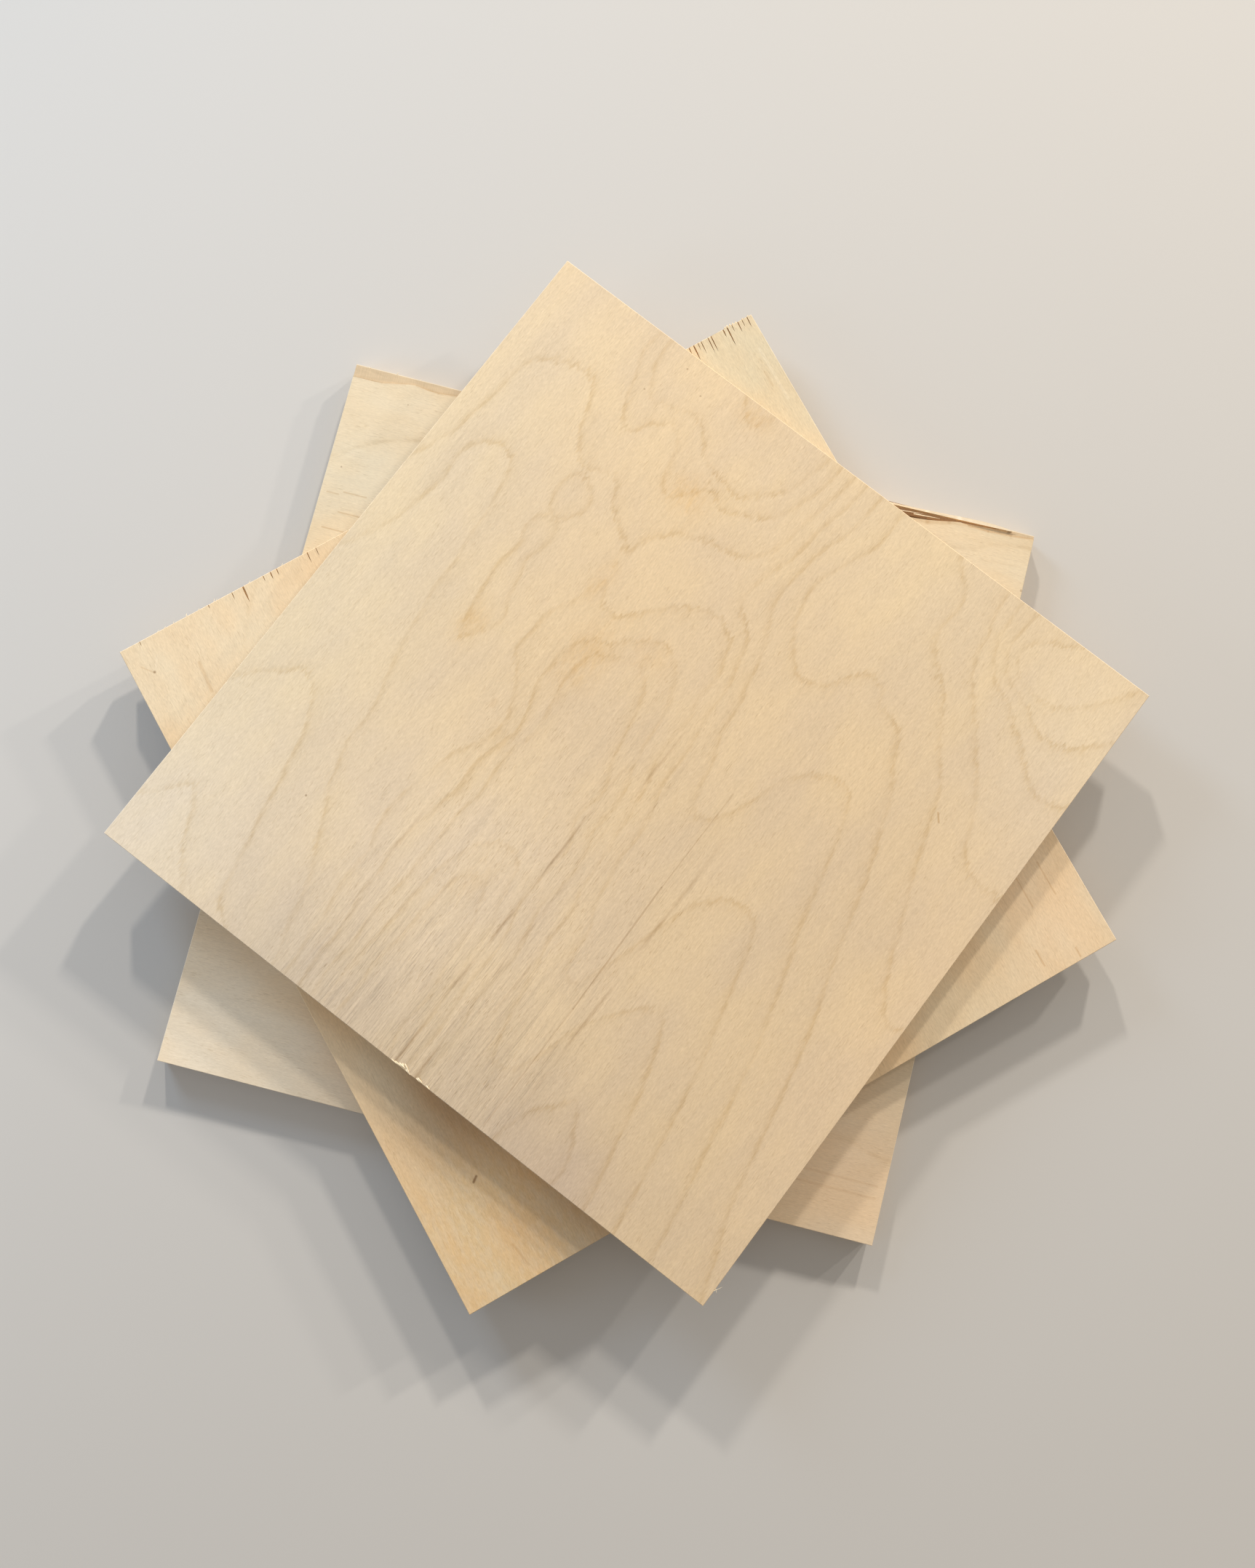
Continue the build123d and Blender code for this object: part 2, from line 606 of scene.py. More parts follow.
@dataclass(frozen=True)
class FaceFinish:
    """A sanded rotary-cut face veneer, with its figure of wavy growth rings.

    Its glints are painted highlights, its pores carry painted shade, and some of its washes are
    painted light and painted shade.
    """

    name: str
    ground: Tone
    warm: Tone
    line_left: Share
    line_strength: float
    ragged: float
    texture: float = 1.0
    faint: float = 0.0
    bolder: tuple[Patch, ...] = ()
    washes: tuple[Wash, ...] = ()
    marks: tuple[Mark, ...] = ()
    long_streaks: tuple[float, ...] = ()
    streak_lean: float = 0.0

    GRAIN = Cells(26, 0.9, 3.1, 4.0, 0.62)
    FLECK = Cells(1.7, 0.5, 7.7, 2.0, 0.6)
    BAND = Cells(55, 4, 16.9, 3.0, 0.6)
    CLOUD = Cells(42, 24, 5.5)
    MOTTLE = Cells(6, 2.6, 45.3, 3.0, 0.6)
    CROWDING = Cells(22, 7, 47.9)
    COARSE_TOOTH = Cells(12, 1.1, 1.3, 2.0, 0.6)
    FINE_TOOTH = Cells(4, 0.45, 2.9, 1.0)
    BOLDNESS = Cells(34, 15, 6.1)
    WANDER = Cells(60, 40, 8.8, 1.0)
    BREAKS = Cells(26, 3, 4.4)
    FINE_STREAKS = Specks(Cells(15, 0.42, 9.3, 2.0, 0.6), 0.5, 0.76, (0.76, 0.75, 0.76))
    # The dark pore flecks are partly the pores' own colour and partly painted shade in them; the
    # glints are painted highlights on raised grain.
    SHADED_PORES = Specks(Cells(3.4, 0.32, 41.7, 1.0), 0.60, 0.70, (0.80, 0.76, 0.70))
    GLINTS = Specks(Cells(2.8, 0.36, 43.1, 1.0), 0.62, 0.72, (1.10, 1.11, 1.13))
    # How strongly each noise moves the tone. Of a pair, the first holds at the streaky end of
    # the face and adds to the second, which holds everywhere.
    GRAIN_TONE = (0.24, 0.14)
    BAND_TONE = (0.26, 0.08)
    FLECK_TONE = 0.34
    CLOUD_TONE = 0.14
    STREAK_TONE = (0.95, 0.12)
    PORE_TONE = (0.35, 0.5)
    GLINT_TONE = 0.7
    # Ranges, as Signal.between and Signal.spread take them.
    STREAKY_END = (15, 120, 1.0, 0.25)
    MOTTLE_TONE = (0.45, 1.35)
    CROWDING_TONE = (0.35, 0.65, 0.3, 1.2)
    # A ring line, in millimetres: how far the grain carries it, and how it fades on its sides.
    # The least slope is in rings to a millimetre.
    COARSE_REACH = 9.0
    FINE_REACH = 3.0
    LINE_PAST = 0.85
    LINE_BEFORE = 1.1
    LINE_FADE = 3.6
    LINE_SOFT = (0.55, 0.42)
    LINE_BOLDNESS = (0.45, 1.25)
    LEAST_SLOPE = 0.004
    # A single long streak, in millimetres, and the range of the noise that breaks it.
    STREAK_SPAN = 320.0
    STREAK_HALF = 0.45
    STREAK_WANDER = 2.0
    STREAK_WHOLE = (0.40, 0.64)
    LONG_STREAK_LEFT = (0.70, 0.64, 0.58)
    ROUGHNESS = 0.66
    ROUGHNESS_SWING = 0.1
    # The relief in millimetres, and the share of it that each pattern gives over a base.
    RELIEF = 0.05
    GRAIN_RELIEF = 0.5
    FLECK_RELIEF = 0.35
    LINE_RELIEF = -0.2
    BASE_RELIEF = 0.3

    def make(self, place: SheetPlace) -> bpy.types.Material:
        """Builds the material.

        Args:
            place: How the sheet lies.

        Returns:
            The material.
        """
        wiring = Wiring(self.name)
        spot = place.coordinates(wiring)
        flat = wiring.flatten(spot)
        along, across, _ = wiring.split(spot)
        line = self.figure(wiring, flat, along, across)
        grain = wiring.noise(along, across, self.GRAIN)
        fleck = wiring.noise(along, across, self.FLECK)
        band = wiring.noise(along, across, self.BAND)
        cloud = wiring.noise(along, across, self.CLOUD)
        blush, streaky = self.tones(wiring)
        edgeward = streaky * along.between(*self.STREAKY_END)
        colour = wiring.blend(cloud.spread(), linear(self.ground), linear(self.warm))
        banded = band.swing() * edgeward.over(*self.BAND_TONE)
        grained = grain.swing() * edgeward.over(*self.GRAIN_TONE)
        speckled = grained + fleck.swing() * self.FLECK_TONE
        tone = 1 + speckled * self.texture + banded + cloud.swing() * self.CLOUD_TONE
        colour = wiring.brighten(colour, tone)
        # Washes: some are the wood's own tone, some painted light and some painted shade.
        for wash in self.washes:
            colour = wiring.stain_and_painted_light(colour, wiring.soft_spot(flat, wash), wash.left)
        mottle = wiring.noise(along, across, self.MOTTLE).spread(*self.MOTTLE_TONE)
        colour = wiring.stain_and_painted_light(colour, blush * mottle, StainAndPaintedLight.ORANGE.value)
        colour = wiring.stain_and_painted_light(colour, line * mottle * (1 - streaky * self.faint), self.line_left)
        fine = wiring.specks(along, across, self.FINE_STREAKS)
        colour = wiring.stain_and_painted_light(colour, fine * edgeward.over(*self.STREAK_TONE), self.FINE_STREAKS.left)
        # Dark pore flecks: partly the pores' own colour, partly painted shade in them.
        pore = wiring.specks(along, across, self.SHADED_PORES)
        crowded = wiring.noise(along, across, self.CROWDING).between(*self.CROWDING_TONE)
        pores_and_shade = pore * crowded * streaky.over(*self.PORE_TONE)
        colour = wiring.stain_and_painted_light(colour, pores_and_shade, self.SHADED_PORES.left)
        glint = wiring.specks(along, across, self.GLINTS)
        colour = wiring.stain_and_painted_light(colour, glint * self.GLINT_TONE, self.GLINTS.left)
        if self.long_streaks:
            ruled = self.ruled(wiring, along, across) * streaky
            colour = wiring.stain_and_painted_light(colour, ruled, self.LONG_STREAK_LEFT)
        colour = wiring.draw(colour, flat, self.marks)
        roughness = fleck.swing().over(self.ROUGHNESS_SWING, self.ROUGHNESS)
        relief = grain * self.GRAIN_RELIEF + fleck * self.FLECK_RELIEF
        relief = relief + line * self.LINE_RELIEF + self.BASE_RELIEF
        return wiring.finish(colour, roughness, relief, self.RELIEF)

    def figure(self, wiring: Wiring, flat: Signal, along: Signal, across: Signal) -> Signal:
        """Draws the growth-ring lines, ragged where they cross the grain.

        Args:
            wiring: The material.
            flat: Vector of the distances along and across the face, in millimetres.
            along: The distance along the grain.
            across: The distance across it.

        Returns:
            Mask of the lines.
        """
        rings = wiring.node("ShaderNodeAttribute", {"attribute_name": "figure"}, {}, "Vector")
        ring, slope_along, slope = wiring.split(rings)
        coarse = wiring.noise(along, across, self.COARSE_TOOTH).swing()
        fine = wiring.noise(along, across, self.FINE_TOOTH).swing()
        ragged = (coarse * self.COARSE_REACH + fine * self.FINE_REACH) * self.ragged
        level = (ring + slope_along * ragged).part()
        steep = slope.most(self.LEAST_SLOPE)
        past = level / steep
        before = (1 - level) / steep
        near, far = self.LINE_SOFT
        line = past.bell(self.LINE_PAST)
        line = line.most(before.bell(self.LINE_BEFORE) * near + before.fade(self.LINE_FADE) * far)
        strength = wiring.noise(along, across, self.BOLDNESS).spread(*self.LINE_BOLDNESS)
        for patch in self.bolder:
            strength = strength + wiring.soft_spot(flat, patch) * patch.strength
        return line * strength.most(0.0) * self.line_strength

    def tones(self, wiring: Wiring) -> tuple[Signal, Signal]:
        """Reads the soft tones that the mesh carries.

        Args:
            wiring: The material.

        Returns:
            The soft patches, and the streaky ground.
        """
        tone = wiring.node("ShaderNodeAttribute", {"attribute_name": "tone"}, {}, "Vector")
        blush, streaky, _ = wiring.split(tone)
        return blush, streaky

    def ruled(self, wiring: Wiring, along: Signal, across: Signal) -> Signal:
        """Draws single long streaks, which run nearly along the grain.

        Args:
            wiring: The material.
            along: The distance along the grain.
            across: The distance across it.

        Returns:
            Mask of the streaks, broken here and there.
        """
        span, half = self.STREAK_SPAN, self.STREAK_HALF
        stops = [(0.0, 0.0)]
        for place in self.long_streaks:
            stops += [((place - half) / span, 0.0), (place / span, 1.0), ((place + half) / span, 0.0)]
        wander = wiring.noise(along, across, self.WANDER).swing()
        level = (across - along * self.streak_lean + wander * self.STREAK_WANDER) * (1 / span)
        drawn = wiring.node("ShaderNodeValToRGB", {"stops": stops}, {"Fac": level})
        return drawn * wiring.noise(along, across, self.BREAKS).between(*self.STREAK_WHOLE)


@dataclass(frozen=True)
class BackFinish:
    """The sheet's other face: a plainer veneer, with rings that a slow noise makes."""

    name: str
    ground: Tone
    warm: Tone

    SLOW = Cells(150, 60, 11.2, 1.0)
    SHAKE = Cells(12, 1.2, 12.4, 2.0, 0.6)
    GRAIN = Cells(50, 0.9, 13.6, 4.0, 0.62)
    FLECK = Cells(2.4, 0.36, 14.7, 2.0, 0.6)
    CLOUD = Cells(60, 30, 15.2)
    # Rings over the noise's range, how far the grain shakes them, and the two sides of a line,
    # all counted in rings. Then how dark each side is.
    RINGS = 11.0
    SHAKEN = 0.25
    LINE_BEFORE = 0.22
    LINE_PAST = 0.05
    DARK_BEFORE = 0.6
    DARK_PAST = 0.4
    LINE_LEFT = (0.90, 0.87, 0.82)
    GRAIN_TONE = 0.2
    FLECK_TONE = 0.16
    ROUGHNESS = 0.7
    ROUGHNESS_SWING = 0.1
    RELIEF = 0.06
    GRAIN_RELIEF = 0.6
    FLECK_RELIEF = 0.4

    def make(self, place: SheetPlace) -> bpy.types.Material:
        """Builds the material.

        Args:
            place: How the sheet lies.

        Returns:
            The material.
        """
        wiring = Wiring(self.name)
        along, across, _ = wiring.split(place.coordinates(wiring))
        slow = wiring.noise(along, across, self.SLOW, shift=place.underside)
        shake = wiring.noise(along, across, self.SHAKE).swing()
        level = (slow * self.RINGS + shake * self.SHAKEN).part()
        before = (1 - level).bell(self.LINE_BEFORE) * self.DARK_BEFORE
        line = before + level.bell(self.LINE_PAST) * self.DARK_PAST
        grain = wiring.noise(along, across, self.GRAIN)
        fleck = wiring.noise(along, across, self.FLECK)
        cloud = wiring.noise(along, across, self.CLOUD)
        colour = wiring.blend(cloud.spread(), linear(self.ground), linear(self.warm))
        tone = 1 + grain.swing() * self.GRAIN_TONE + fleck.swing() * self.FLECK_TONE
        colour = wiring.stain_and_painted_light(wiring.brighten(colour, tone), line, self.LINE_LEFT)
        relief = grain * self.GRAIN_RELIEF + fleck * self.FLECK_RELIEF
        roughness = fleck.swing().over(self.ROUGHNESS_SWING, self.ROUGHNESS)
        return wiring.finish(colour, roughness, relief, self.RELIEF)


@dataclass(frozen=True)
class EdgeFinish:
    """A sawn edge: face veneers with five plies between them, every other one turned."""

    name: str
    long_grain: Tone
    end_grain: Tone
    veneer: float = 0.7
    ply: float = 1.52

    WAVER = Cells(9, 1 / 3.7, 21.3)
    STREAK = Cells(7, 0.14, 22.8, 3.0, 0.6)
    PORE = Cells(0.4, 0.3, 23.9, 2.0, 0.6)
    TEETH = Cells(0.7, 30, 24.5, 2.0, 0.6)
    # Ply numbers are lifted so that none is negative, and each ply has a seed for its tone.
    LIFT = 10
    SEED = 1.7
    LEAST_TONE = 0.90
    PLY_TONE = 0.14
    STREAK_TONE = 0.32
    PORE_TONE = 0.30
    WAVER_TONE = 0.2
    GLUE_AT = (0.44, 0.49)
    GLUE_TONE = (0.3, 0.6, 0.4, 1.0)
    GLUE_LEFT = (0.50, 0.43, 0.36)
    PORE_AT = (0.62, 0.75)
    PORE_LEFT = (0.62, 0.55, 0.48)
    ROUGHNESS = 0.82
    RELIEF = 0.12
    TEETH_RELIEF = 0.4
    STREAK_RELIEF = 0.3
    PORE_RELIEF = 0.3
    GLUE_RELIEF = 0.3

    def make(self, place: SheetPlace) -> bpy.types.Material:
        """Builds the material.

        Args:
            place: How the sheet lies.

        Returns:
            The material.
        """
        wiring = Wiring(self.name)
        along, across, height = wiring.split(place.coordinates(wiring))
        normal = wiring.node("ShaderNodeTexCoord", {}, {}, "Normal")
        grain, _ = place.axes()
        facing = wiring.vector_math("DOT_PRODUCT", {0: normal, 1: tuple(grain)}, "Value")
        cut_across = facing.size()
        run = cut_across * across + (1 - cut_across) * along
        inner = (height - self.veneer) * (1 / self.ply)
        number = inner.whole()
        crossed = 1 - (number + self.LIFT).math("MODULO", 2.0)
        end = (crossed - cut_across).size()
        waver = wiring.noise(run, number, self.WAVER)
        seed = {"W": number.over(self.SEED, place.underside)}
        ply_tone = wiring.node("ShaderNodeTexWhiteNoise", {"noise_dimensions": "1D"}, seed)
        streak = wiring.noise(run, height, self.STREAK)
        pore = wiring.noise(run, height, self.PORE)
        teeth = wiring.noise(run, height, self.TEETH)
        colour = wiring.blend(end, linear(self.long_grain), linear(self.end_grain))
        tone = self.LEAST_TONE + ply_tone * self.PLY_TONE + streak.swing() * self.STREAK_TONE
        tone = tone + pore.swing() * self.PORE_TONE + waver.swing() * self.WAVER_TONE
        colour = wiring.brighten(colour, tone)
        joint = inner.part().swing().size().between(*self.GLUE_AT)
        glue = joint * waver.between(*self.GLUE_TONE)
        colour = wiring.stain_and_painted_light(colour, glue, self.GLUE_LEFT)
        colour = wiring.stain_and_painted_light(colour, pore.between(*self.PORE_AT) * end, self.PORE_LEFT)
        relief = teeth * self.TEETH_RELIEF + streak * self.STREAK_RELIEF
        relief = relief + pore * self.PORE_RELIEF - glue * self.GLUE_RELIEF
        return wiring.finish(colour, self.ROUGHNESS, relief, self.RELIEF)


@dataclass(frozen=True)
class BrokenFinish:
    """Bare torn wood inside a split, a chip or a stripped edge, darker below a height.

    That deep tone is partly the inner wood's own colour and partly painted shade.
    """

    name: str
    floor: Tone
    deep: Tone
    deep_below: float
    across_grain: bool
    contrast: float = 0.35
    rim: float = 0.6
    marks: tuple[Mark, ...] = ()

    FIBRE = Cells(5, 0.28, 31.2, 3.0, 0.65)
    PATCHY = Cells(1.5, 6, 32.6)
    SLIVER = Cells(14, 0.5, 33.4)
    SLIVER_AT = (0.55, 0.72)
    SLIVER_TONE = 0.35
    DEEP_FADE = 0.9
    RIM_TONE = (252, 240, 216)
    RIM_REACH = (0.15, 0.5, 1.0, 0.0)
    ROUGHNESS = 0.85
    RELIEF = 0.12
    FIBRE_RELIEF = 0.6
    PATCHY_RELIEF = 0.4

    def make(self, place: SheetPlace) -> bpy.types.Material:
        """Builds the material.

        Args:
            place: How the sheet lies.

        Returns:
            The material.
        """
        wiring = Wiring(self.name)
        spot = place.coordinates(wiring)
        flat = wiring.flatten(spot)
        along, across, height = wiring.split(spot)
        run, side = (across, along) if self.across_grain else (along, across)
        fibre = wiring.noise(run, side, self.FIBRE)
        patchy = wiring.noise(run, side, self.PATCHY)
        # Painted shade in the deep of a tear, over the inner wood's own colour.
        dark = height.between(self.deep_below - self.DEEP_FADE, self.deep_below, 1.0, 0.0)
        colour = wiring.blend(dark, linear(self.floor), linear(self.deep))
        sliver = wiring.noise(side, run, self.SLIVER).between(*self.SLIVER_AT)
        colour = wiring.blend(sliver * dark * self.SLIVER_TONE, colour, linear(self.floor))
        tone = 1 + fibre.swing() * self.contrast + patchy.swing() * self.contrast
        colour = wiring.brighten(colour, tone)
        frayed = run.between(*self.RIM_REACH) * (1 - dark) * self.rim
        colour = wiring.blend(frayed, colour, linear(self.RIM_TONE))
        colour = wiring.draw(colour, flat, self.marks)
        relief = fibre * self.FIBRE_RELIEF + patchy * self.PATCHY_RELIEF
        return wiring.finish(colour, self.ROUGHNESS, relief, self.RELIEF)


def select_only(piece: bpy.types.Object) -> None:
    """Leaves one object selected and active.

    Args:
        piece: The object.
    """
    bpy.ops.object.select_all(action="DESELECT")
    piece.select_set(True)
    bpy.context.view_layer.objects.active = piece


class Surface(IntEnum):
    """The kinds of surface of a sheet, in the order of its finishes."""

    FACE = 0
    BACK = 1
    EDGE = 2
    BROKEN = 3


@dataclass
class DressedSheet:
    """One plywood square: the CAD solid's own shape, with a fine mesh on its face for the figure.

    Streaky ground lies between a low and a high distance along the grain, and a low and a
    high one across it, and fades out over some millimetres. The mesh on the face has squares
    of one step, and its first cut is a share of a step in from the edge. An arris is this deep
    at most, and a sawn edge lies this near to its plane.
    """

    node: str
    slot: str
    place: SheetPlace
    lines: tuple[Line, ...]
    patches: tuple[Patch, ...]
    streaky: tuple[float, float, float, float]
    finishes: tuple[FaceFinish, BackFinish, EdgeFinish, BrokenFinish]
    step: float

    MERGE = 1e-6
    FLAT_ANGLE = 0.5
    NEAR_UP = 0.99
    ARRIS_UP = 0.8
    FACING = 0.5
    LEVEL = 1e-5
    FIRST_CUT = 1 / 3
    ARRIS = 0.25
    SAWN = 0.02
    FADE_ALONG = 12
    FADE_ACROSS = 8

    def build(self) -> bpy.types.Object:
        """Makes the sheet, dresses it and puts it in the CAD node's place.

        Returns:
            The sheet.
        """
        piece = self.copy_solid()
        self.rule_face(piece)
        self.store_figure(piece.data)
        self.share_out(piece.data)
        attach(piece, BODY)
        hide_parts(self.node)
        log.info("%s: %d faces", piece.name, len(piece.data.polygons))
        return piece

    def copy_solid(self) -> bpy.types.Object:
        """Copies the CAD solid and merges its loose triangles into whole faces.

        Returns:
            The copy.
        """
        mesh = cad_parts[self.node].data.copy()
        mesh.name = f"dressed_{self.node}"
        mesh.materials.clear()
        piece = bpy.data.objects.new(mesh.name, mesh)
        bpy.context.scene.collection.objects.link(piece)
        select_only(piece)
        bpy.ops.object.mode_set(mode="EDIT")
        bpy.ops.mesh.select_all(action="SELECT")
        bpy.ops.mesh.remove_doubles(threshold=self.MERGE)
        bpy.ops.mesh.dissolve_limited(angle_limit=math.radians(self.FLAT_ANGLE))
        bpy.ops.object.mode_set(mode="OBJECT")
        return piece

    def rule_face(self, piece: bpy.types.Object) -> None:
        """Cuts the face into small squares, along and across the grain.

        Args:
            piece: The sheet.
        """
        top = self.place.top()
        select_only(piece)
        bpy.ops.object.mode_set(mode="EDIT")
        bpy.ops.mesh.select_mode(type="FACE")
        cage = bmesh.from_edit_mesh(piece.data)
        for face in cage.faces:
            at_top = face.calc_center_median().z > top - self.LEVEL
            face.select = face.normal.z > self.NEAR_UP and at_top
        bmesh.update_edit_mesh(piece.data)
        bpy.ops.mesh.hide(unselected=True)
        for axis, span in zip(self.place.axes(), (self.place.length, self.place.width)):
            cuts = round(span / self.step)
            for cut in range(cuts + 1):
                away = axis * (cut * self.step + self.FIRST_CUT * self.step - span / 2)
                middle = (Vector((*self.place.middle, 0.0)) + away) * MM
                bpy.ops.mesh.select_all(action="SELECT")
                bpy.ops.mesh.bisect(plane_co=middle, plane_no=axis, threshold=self.MERGE)
        bpy.ops.mesh.reveal()
        bpy.ops.object.mode_set(mode="OBJECT")

    @staticmethod
    def window(values: np.ndarray, low: float, high: float, fade: float) -> np.ndarray:
        """1 between a low and a high value and 0 outside them, softened over a fade."""
        return 1 / (1 + np.exp((values - high) / fade)) / (1 + np.exp((low - values) / fade))

    def store_figure(self, mesh: bpy.types.Mesh) -> None:
        """Writes the ring number, its slope and the soft tones to each point of the mesh.

        Args:
            mesh: The sheet's mesh.
        """
        places = np.empty(len(mesh.vertices) * 3)
        mesh.vertices.foreach_get("co", places)
        spots = self.place.spots(places.reshape(-1, 3))
        figure = RingField(self.lines).read(spots)
        blush = np.zeros(len(spots))
        for patch in self.patches:
            away = (spots - np.array(patch.middle)) / np.array((patch.along, patch.across))
            blush = np.maximum(blush, patch.strength * np.exp(-(away**2).sum(1)))
        low, high, first, last = self.streaky
        streaky = self.window(spots[:, 0], low, high, self.FADE_ALONG)
        streaky = streaky * self.window(spots[:, 1], first, last, self.FADE_ACROSS)
        tone = np.c_[blush, streaky, np.zeros(len(spots))]
        for name, rows in (("figure", figure), ("tone", tone)):
            layer = mesh.attributes.new(name, "FLOAT_VECTOR", "POINT")
            layer.data.foreach_set("vector", np.ascontiguousarray(rows, np.float32).ravel())

    def share_out(self, mesh: bpy.types.Mesh) -> None:
        """Gives each face of the mesh its finish by the way that it looks and its height.

        Args:
            mesh: The sheet's mesh.
        """
        for finish in self.finishes:
            mesh.materials.append(finish.make(self.place))
        top, low = self.place.top(), self.place.underside * MM
        arris = self.ARRIS * MM
        for polygon in mesh.polygons:
            height, up = polygon.center.z, polygon.normal.z
            sanded = up > self.NEAR_UP or self.FACING < up < self.ARRIS_UP
            if sanded and height > top - arris:
                surface = Surface.FACE
            elif up < -self.FACING and height < low + arris:
                surface = Surface.BACK
            elif self.sawn(polygon.center):
                surface = Surface.EDGE
            else:
                surface = Surface.BROKEN
            polygon.material_index = surface
        mesh.update()

    def sawn(self, centre: Vector) -> bool:
        """Tells a sawn edge from torn wood.

        Args:
            centre: Middle of a face of the mesh, in metres.

        Returns:
            Whether it lies on one of the four sawn edges.
        """
        along, across = self.place.spots(np.array([tuple(centre)]))[0]
        ends = (along, self.place.length - along, across, self.place.width - across)
        return min(abs(end) for end in ends) < self.SAWN


@dataclass(frozen=True)
class Sliver:
    """A loose fibre at an edge, in millimetres: where it is rooted, where it ends and its width."""

    root: tuple[float, float, float]
    tip: tuple[float, float, float]
    width: float


@dataclass
class FrayedEdge:
    """The loose fibres along one sheet's edges.

    A fibre is flat, bends to one side, and narrows by stages, each a share of its length and
    what is left of its width there. Its wood is nowhere deep enough to take painted shade.
    """

    name: str
    slot: str
    place: SheetPlace
    slivers: tuple[Sliver, ...]
    tone: Tone = (254, 236, 202)

    SIDES = 6
    FLATNESS = 0.45
    BEND = 0.12
    STAGES = ((0.25, 0.95), (0.5, 0.80), (0.75, 0.55), (1.0, 0.12))
    CONTRAST = 0.2
    NOWHERE = -9.0

    def build(self) -> bpy.types.Object:
        """Makes the fibres and joins them into one piece.

        Returns:
            The piece.
        """
        pattern = self.make_pattern()
        pieces = [self.copy_to(pattern, sliver) for sliver in self.slivers]
        bpy.data.objects.remove(pattern)
        select_only(pieces[0])
        for piece in pieces:
            piece.select_set(True)
        bpy.ops.object.join()
        fray = bpy.context.active_object
        fray.name = self.name
        finish = BrokenFinish(
            f"{self.name}_wood", floor=self.tone, deep=self.tone, deep_below=self.NOWHERE,
            across_grain=False, contrast=self.CONTRAST, rim=0.0,
        )
        fray.data.materials.append(finish.make(self.place))
        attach(fray, BODY)
        log.info("%s: %d fibres", self.name, len(self.slivers))
        return fray

    def make_pattern(self) -> bpy.types.Object:
        """Makes a fibre of unit length along Z and unit width.

        Returns:
            The fibre, which bends and tapers to its tip.
        """
        bpy.ops.object.select_all(action="DESELECT")
        bpy.ops.mesh.primitive_circle_add(vertices=self.SIDES, radius=0.5, fill_type="NGON")
        pattern = bpy.context.active_object
        bpy.ops.object.mode_set(mode="EDIT")
        bpy.ops.mesh.select_all(action="SELECT")
        bpy.ops.transform.resize(value=(1.0, self.FLATNESS, 1.0), center_override=(0.0, 0.0, 0.0))
        reached, wide, aside = 0.0, 1.0, 0.0
        for share, width in self.STAGES:
            bend = self.BEND * math.sin(math.pi * share)
            step = (0.0, bend - aside, share - reached)
            bpy.ops.mesh.extrude_region_move(TRANSFORM_OT_translate={"value": step})
            shrink = width / wide
            bpy.ops.transform.resize(value=(shrink, shrink, 1.0), center_override=(0.0, bend, share))
            reached, wide, aside = share, width, bend
        bpy.ops.mesh.select_all(action="SELECT")
        bpy.ops.mesh.normals_make_consistent(inside=False)
        bpy.ops.object.mode_set(mode="OBJECT")
        return pattern

    def copy_to(self, pattern: bpy.types.Object, sliver: Sliver) -> bpy.types.Object:
        """Copies the fibre to its place, and applies its size and turn to the mesh.

        Args:
            pattern: The fibre of unit length.
            sliver: Where it goes and how wide it is.

        Returns:
            The copy.
        """
        piece = bpy.data.objects.new("fibre", pattern.data.copy())
        bpy.context.scene.collection.objects.link(piece)
        root, tip = self.place.point(*sliver.root), self.place.point(*sliver.tip)
        run = tip - root
        piece.location = root
        piece.rotation_euler = run.to_track_quat("Z", "Y").to_euler()
        piece.scale = (sliver.width * MM, sliver.width * MM, run.length)
        select_only(piece)
        bpy.ops.object.transform_apply(location=True, rotation=True, scale=True)
        return piece


@dataclass(frozen=True)
class Lamp:
    """A softbox: where it hangs as the picture counts it, in metres, and its share of the light."""

    name: str
    right: float
    up: float
    height: float
    width: float
    share: float
    white: Share

    def place(self, turn: float) -> Vector:
        """Where it hangs in the shared frame, for the picture's turn in degrees."""
        return Matrix.Rotation(math.radians(turn), 3, "Z") @ Vector((self.right, self.up, self.height))

    def light_at(self, wiring: Wiring, spot: Signal, turn: float) -> Signal:
        """Its light on the level floor, which falls with the distance and both slants.

        Args:
            wiring: The floor's material.
            spot: Place on the floor, in metres.
            turn: The picture's turn in degrees.

        Returns:
            The share at the origin, and more or less elsewhere.
        """
        place = self.place(turn)
        reach = wiring.vector_math("SUBTRACT", {0: tuple(place), 1: spot})
        sight = {0: reach, 1: tuple(place.normalized())}
        facing = wiring.vector_math("DOT_PRODUCT", sight, "Value").most(0.0)
        away = wiring.vector_math("LENGTH", {0: reach}, "Value")
        # The square of the distance and both slants make facing / away**4, which is
        # 1 / length**3 at the origin.
        return facing * (self.share * place.length**3) / away.math("POWER", 4.0)


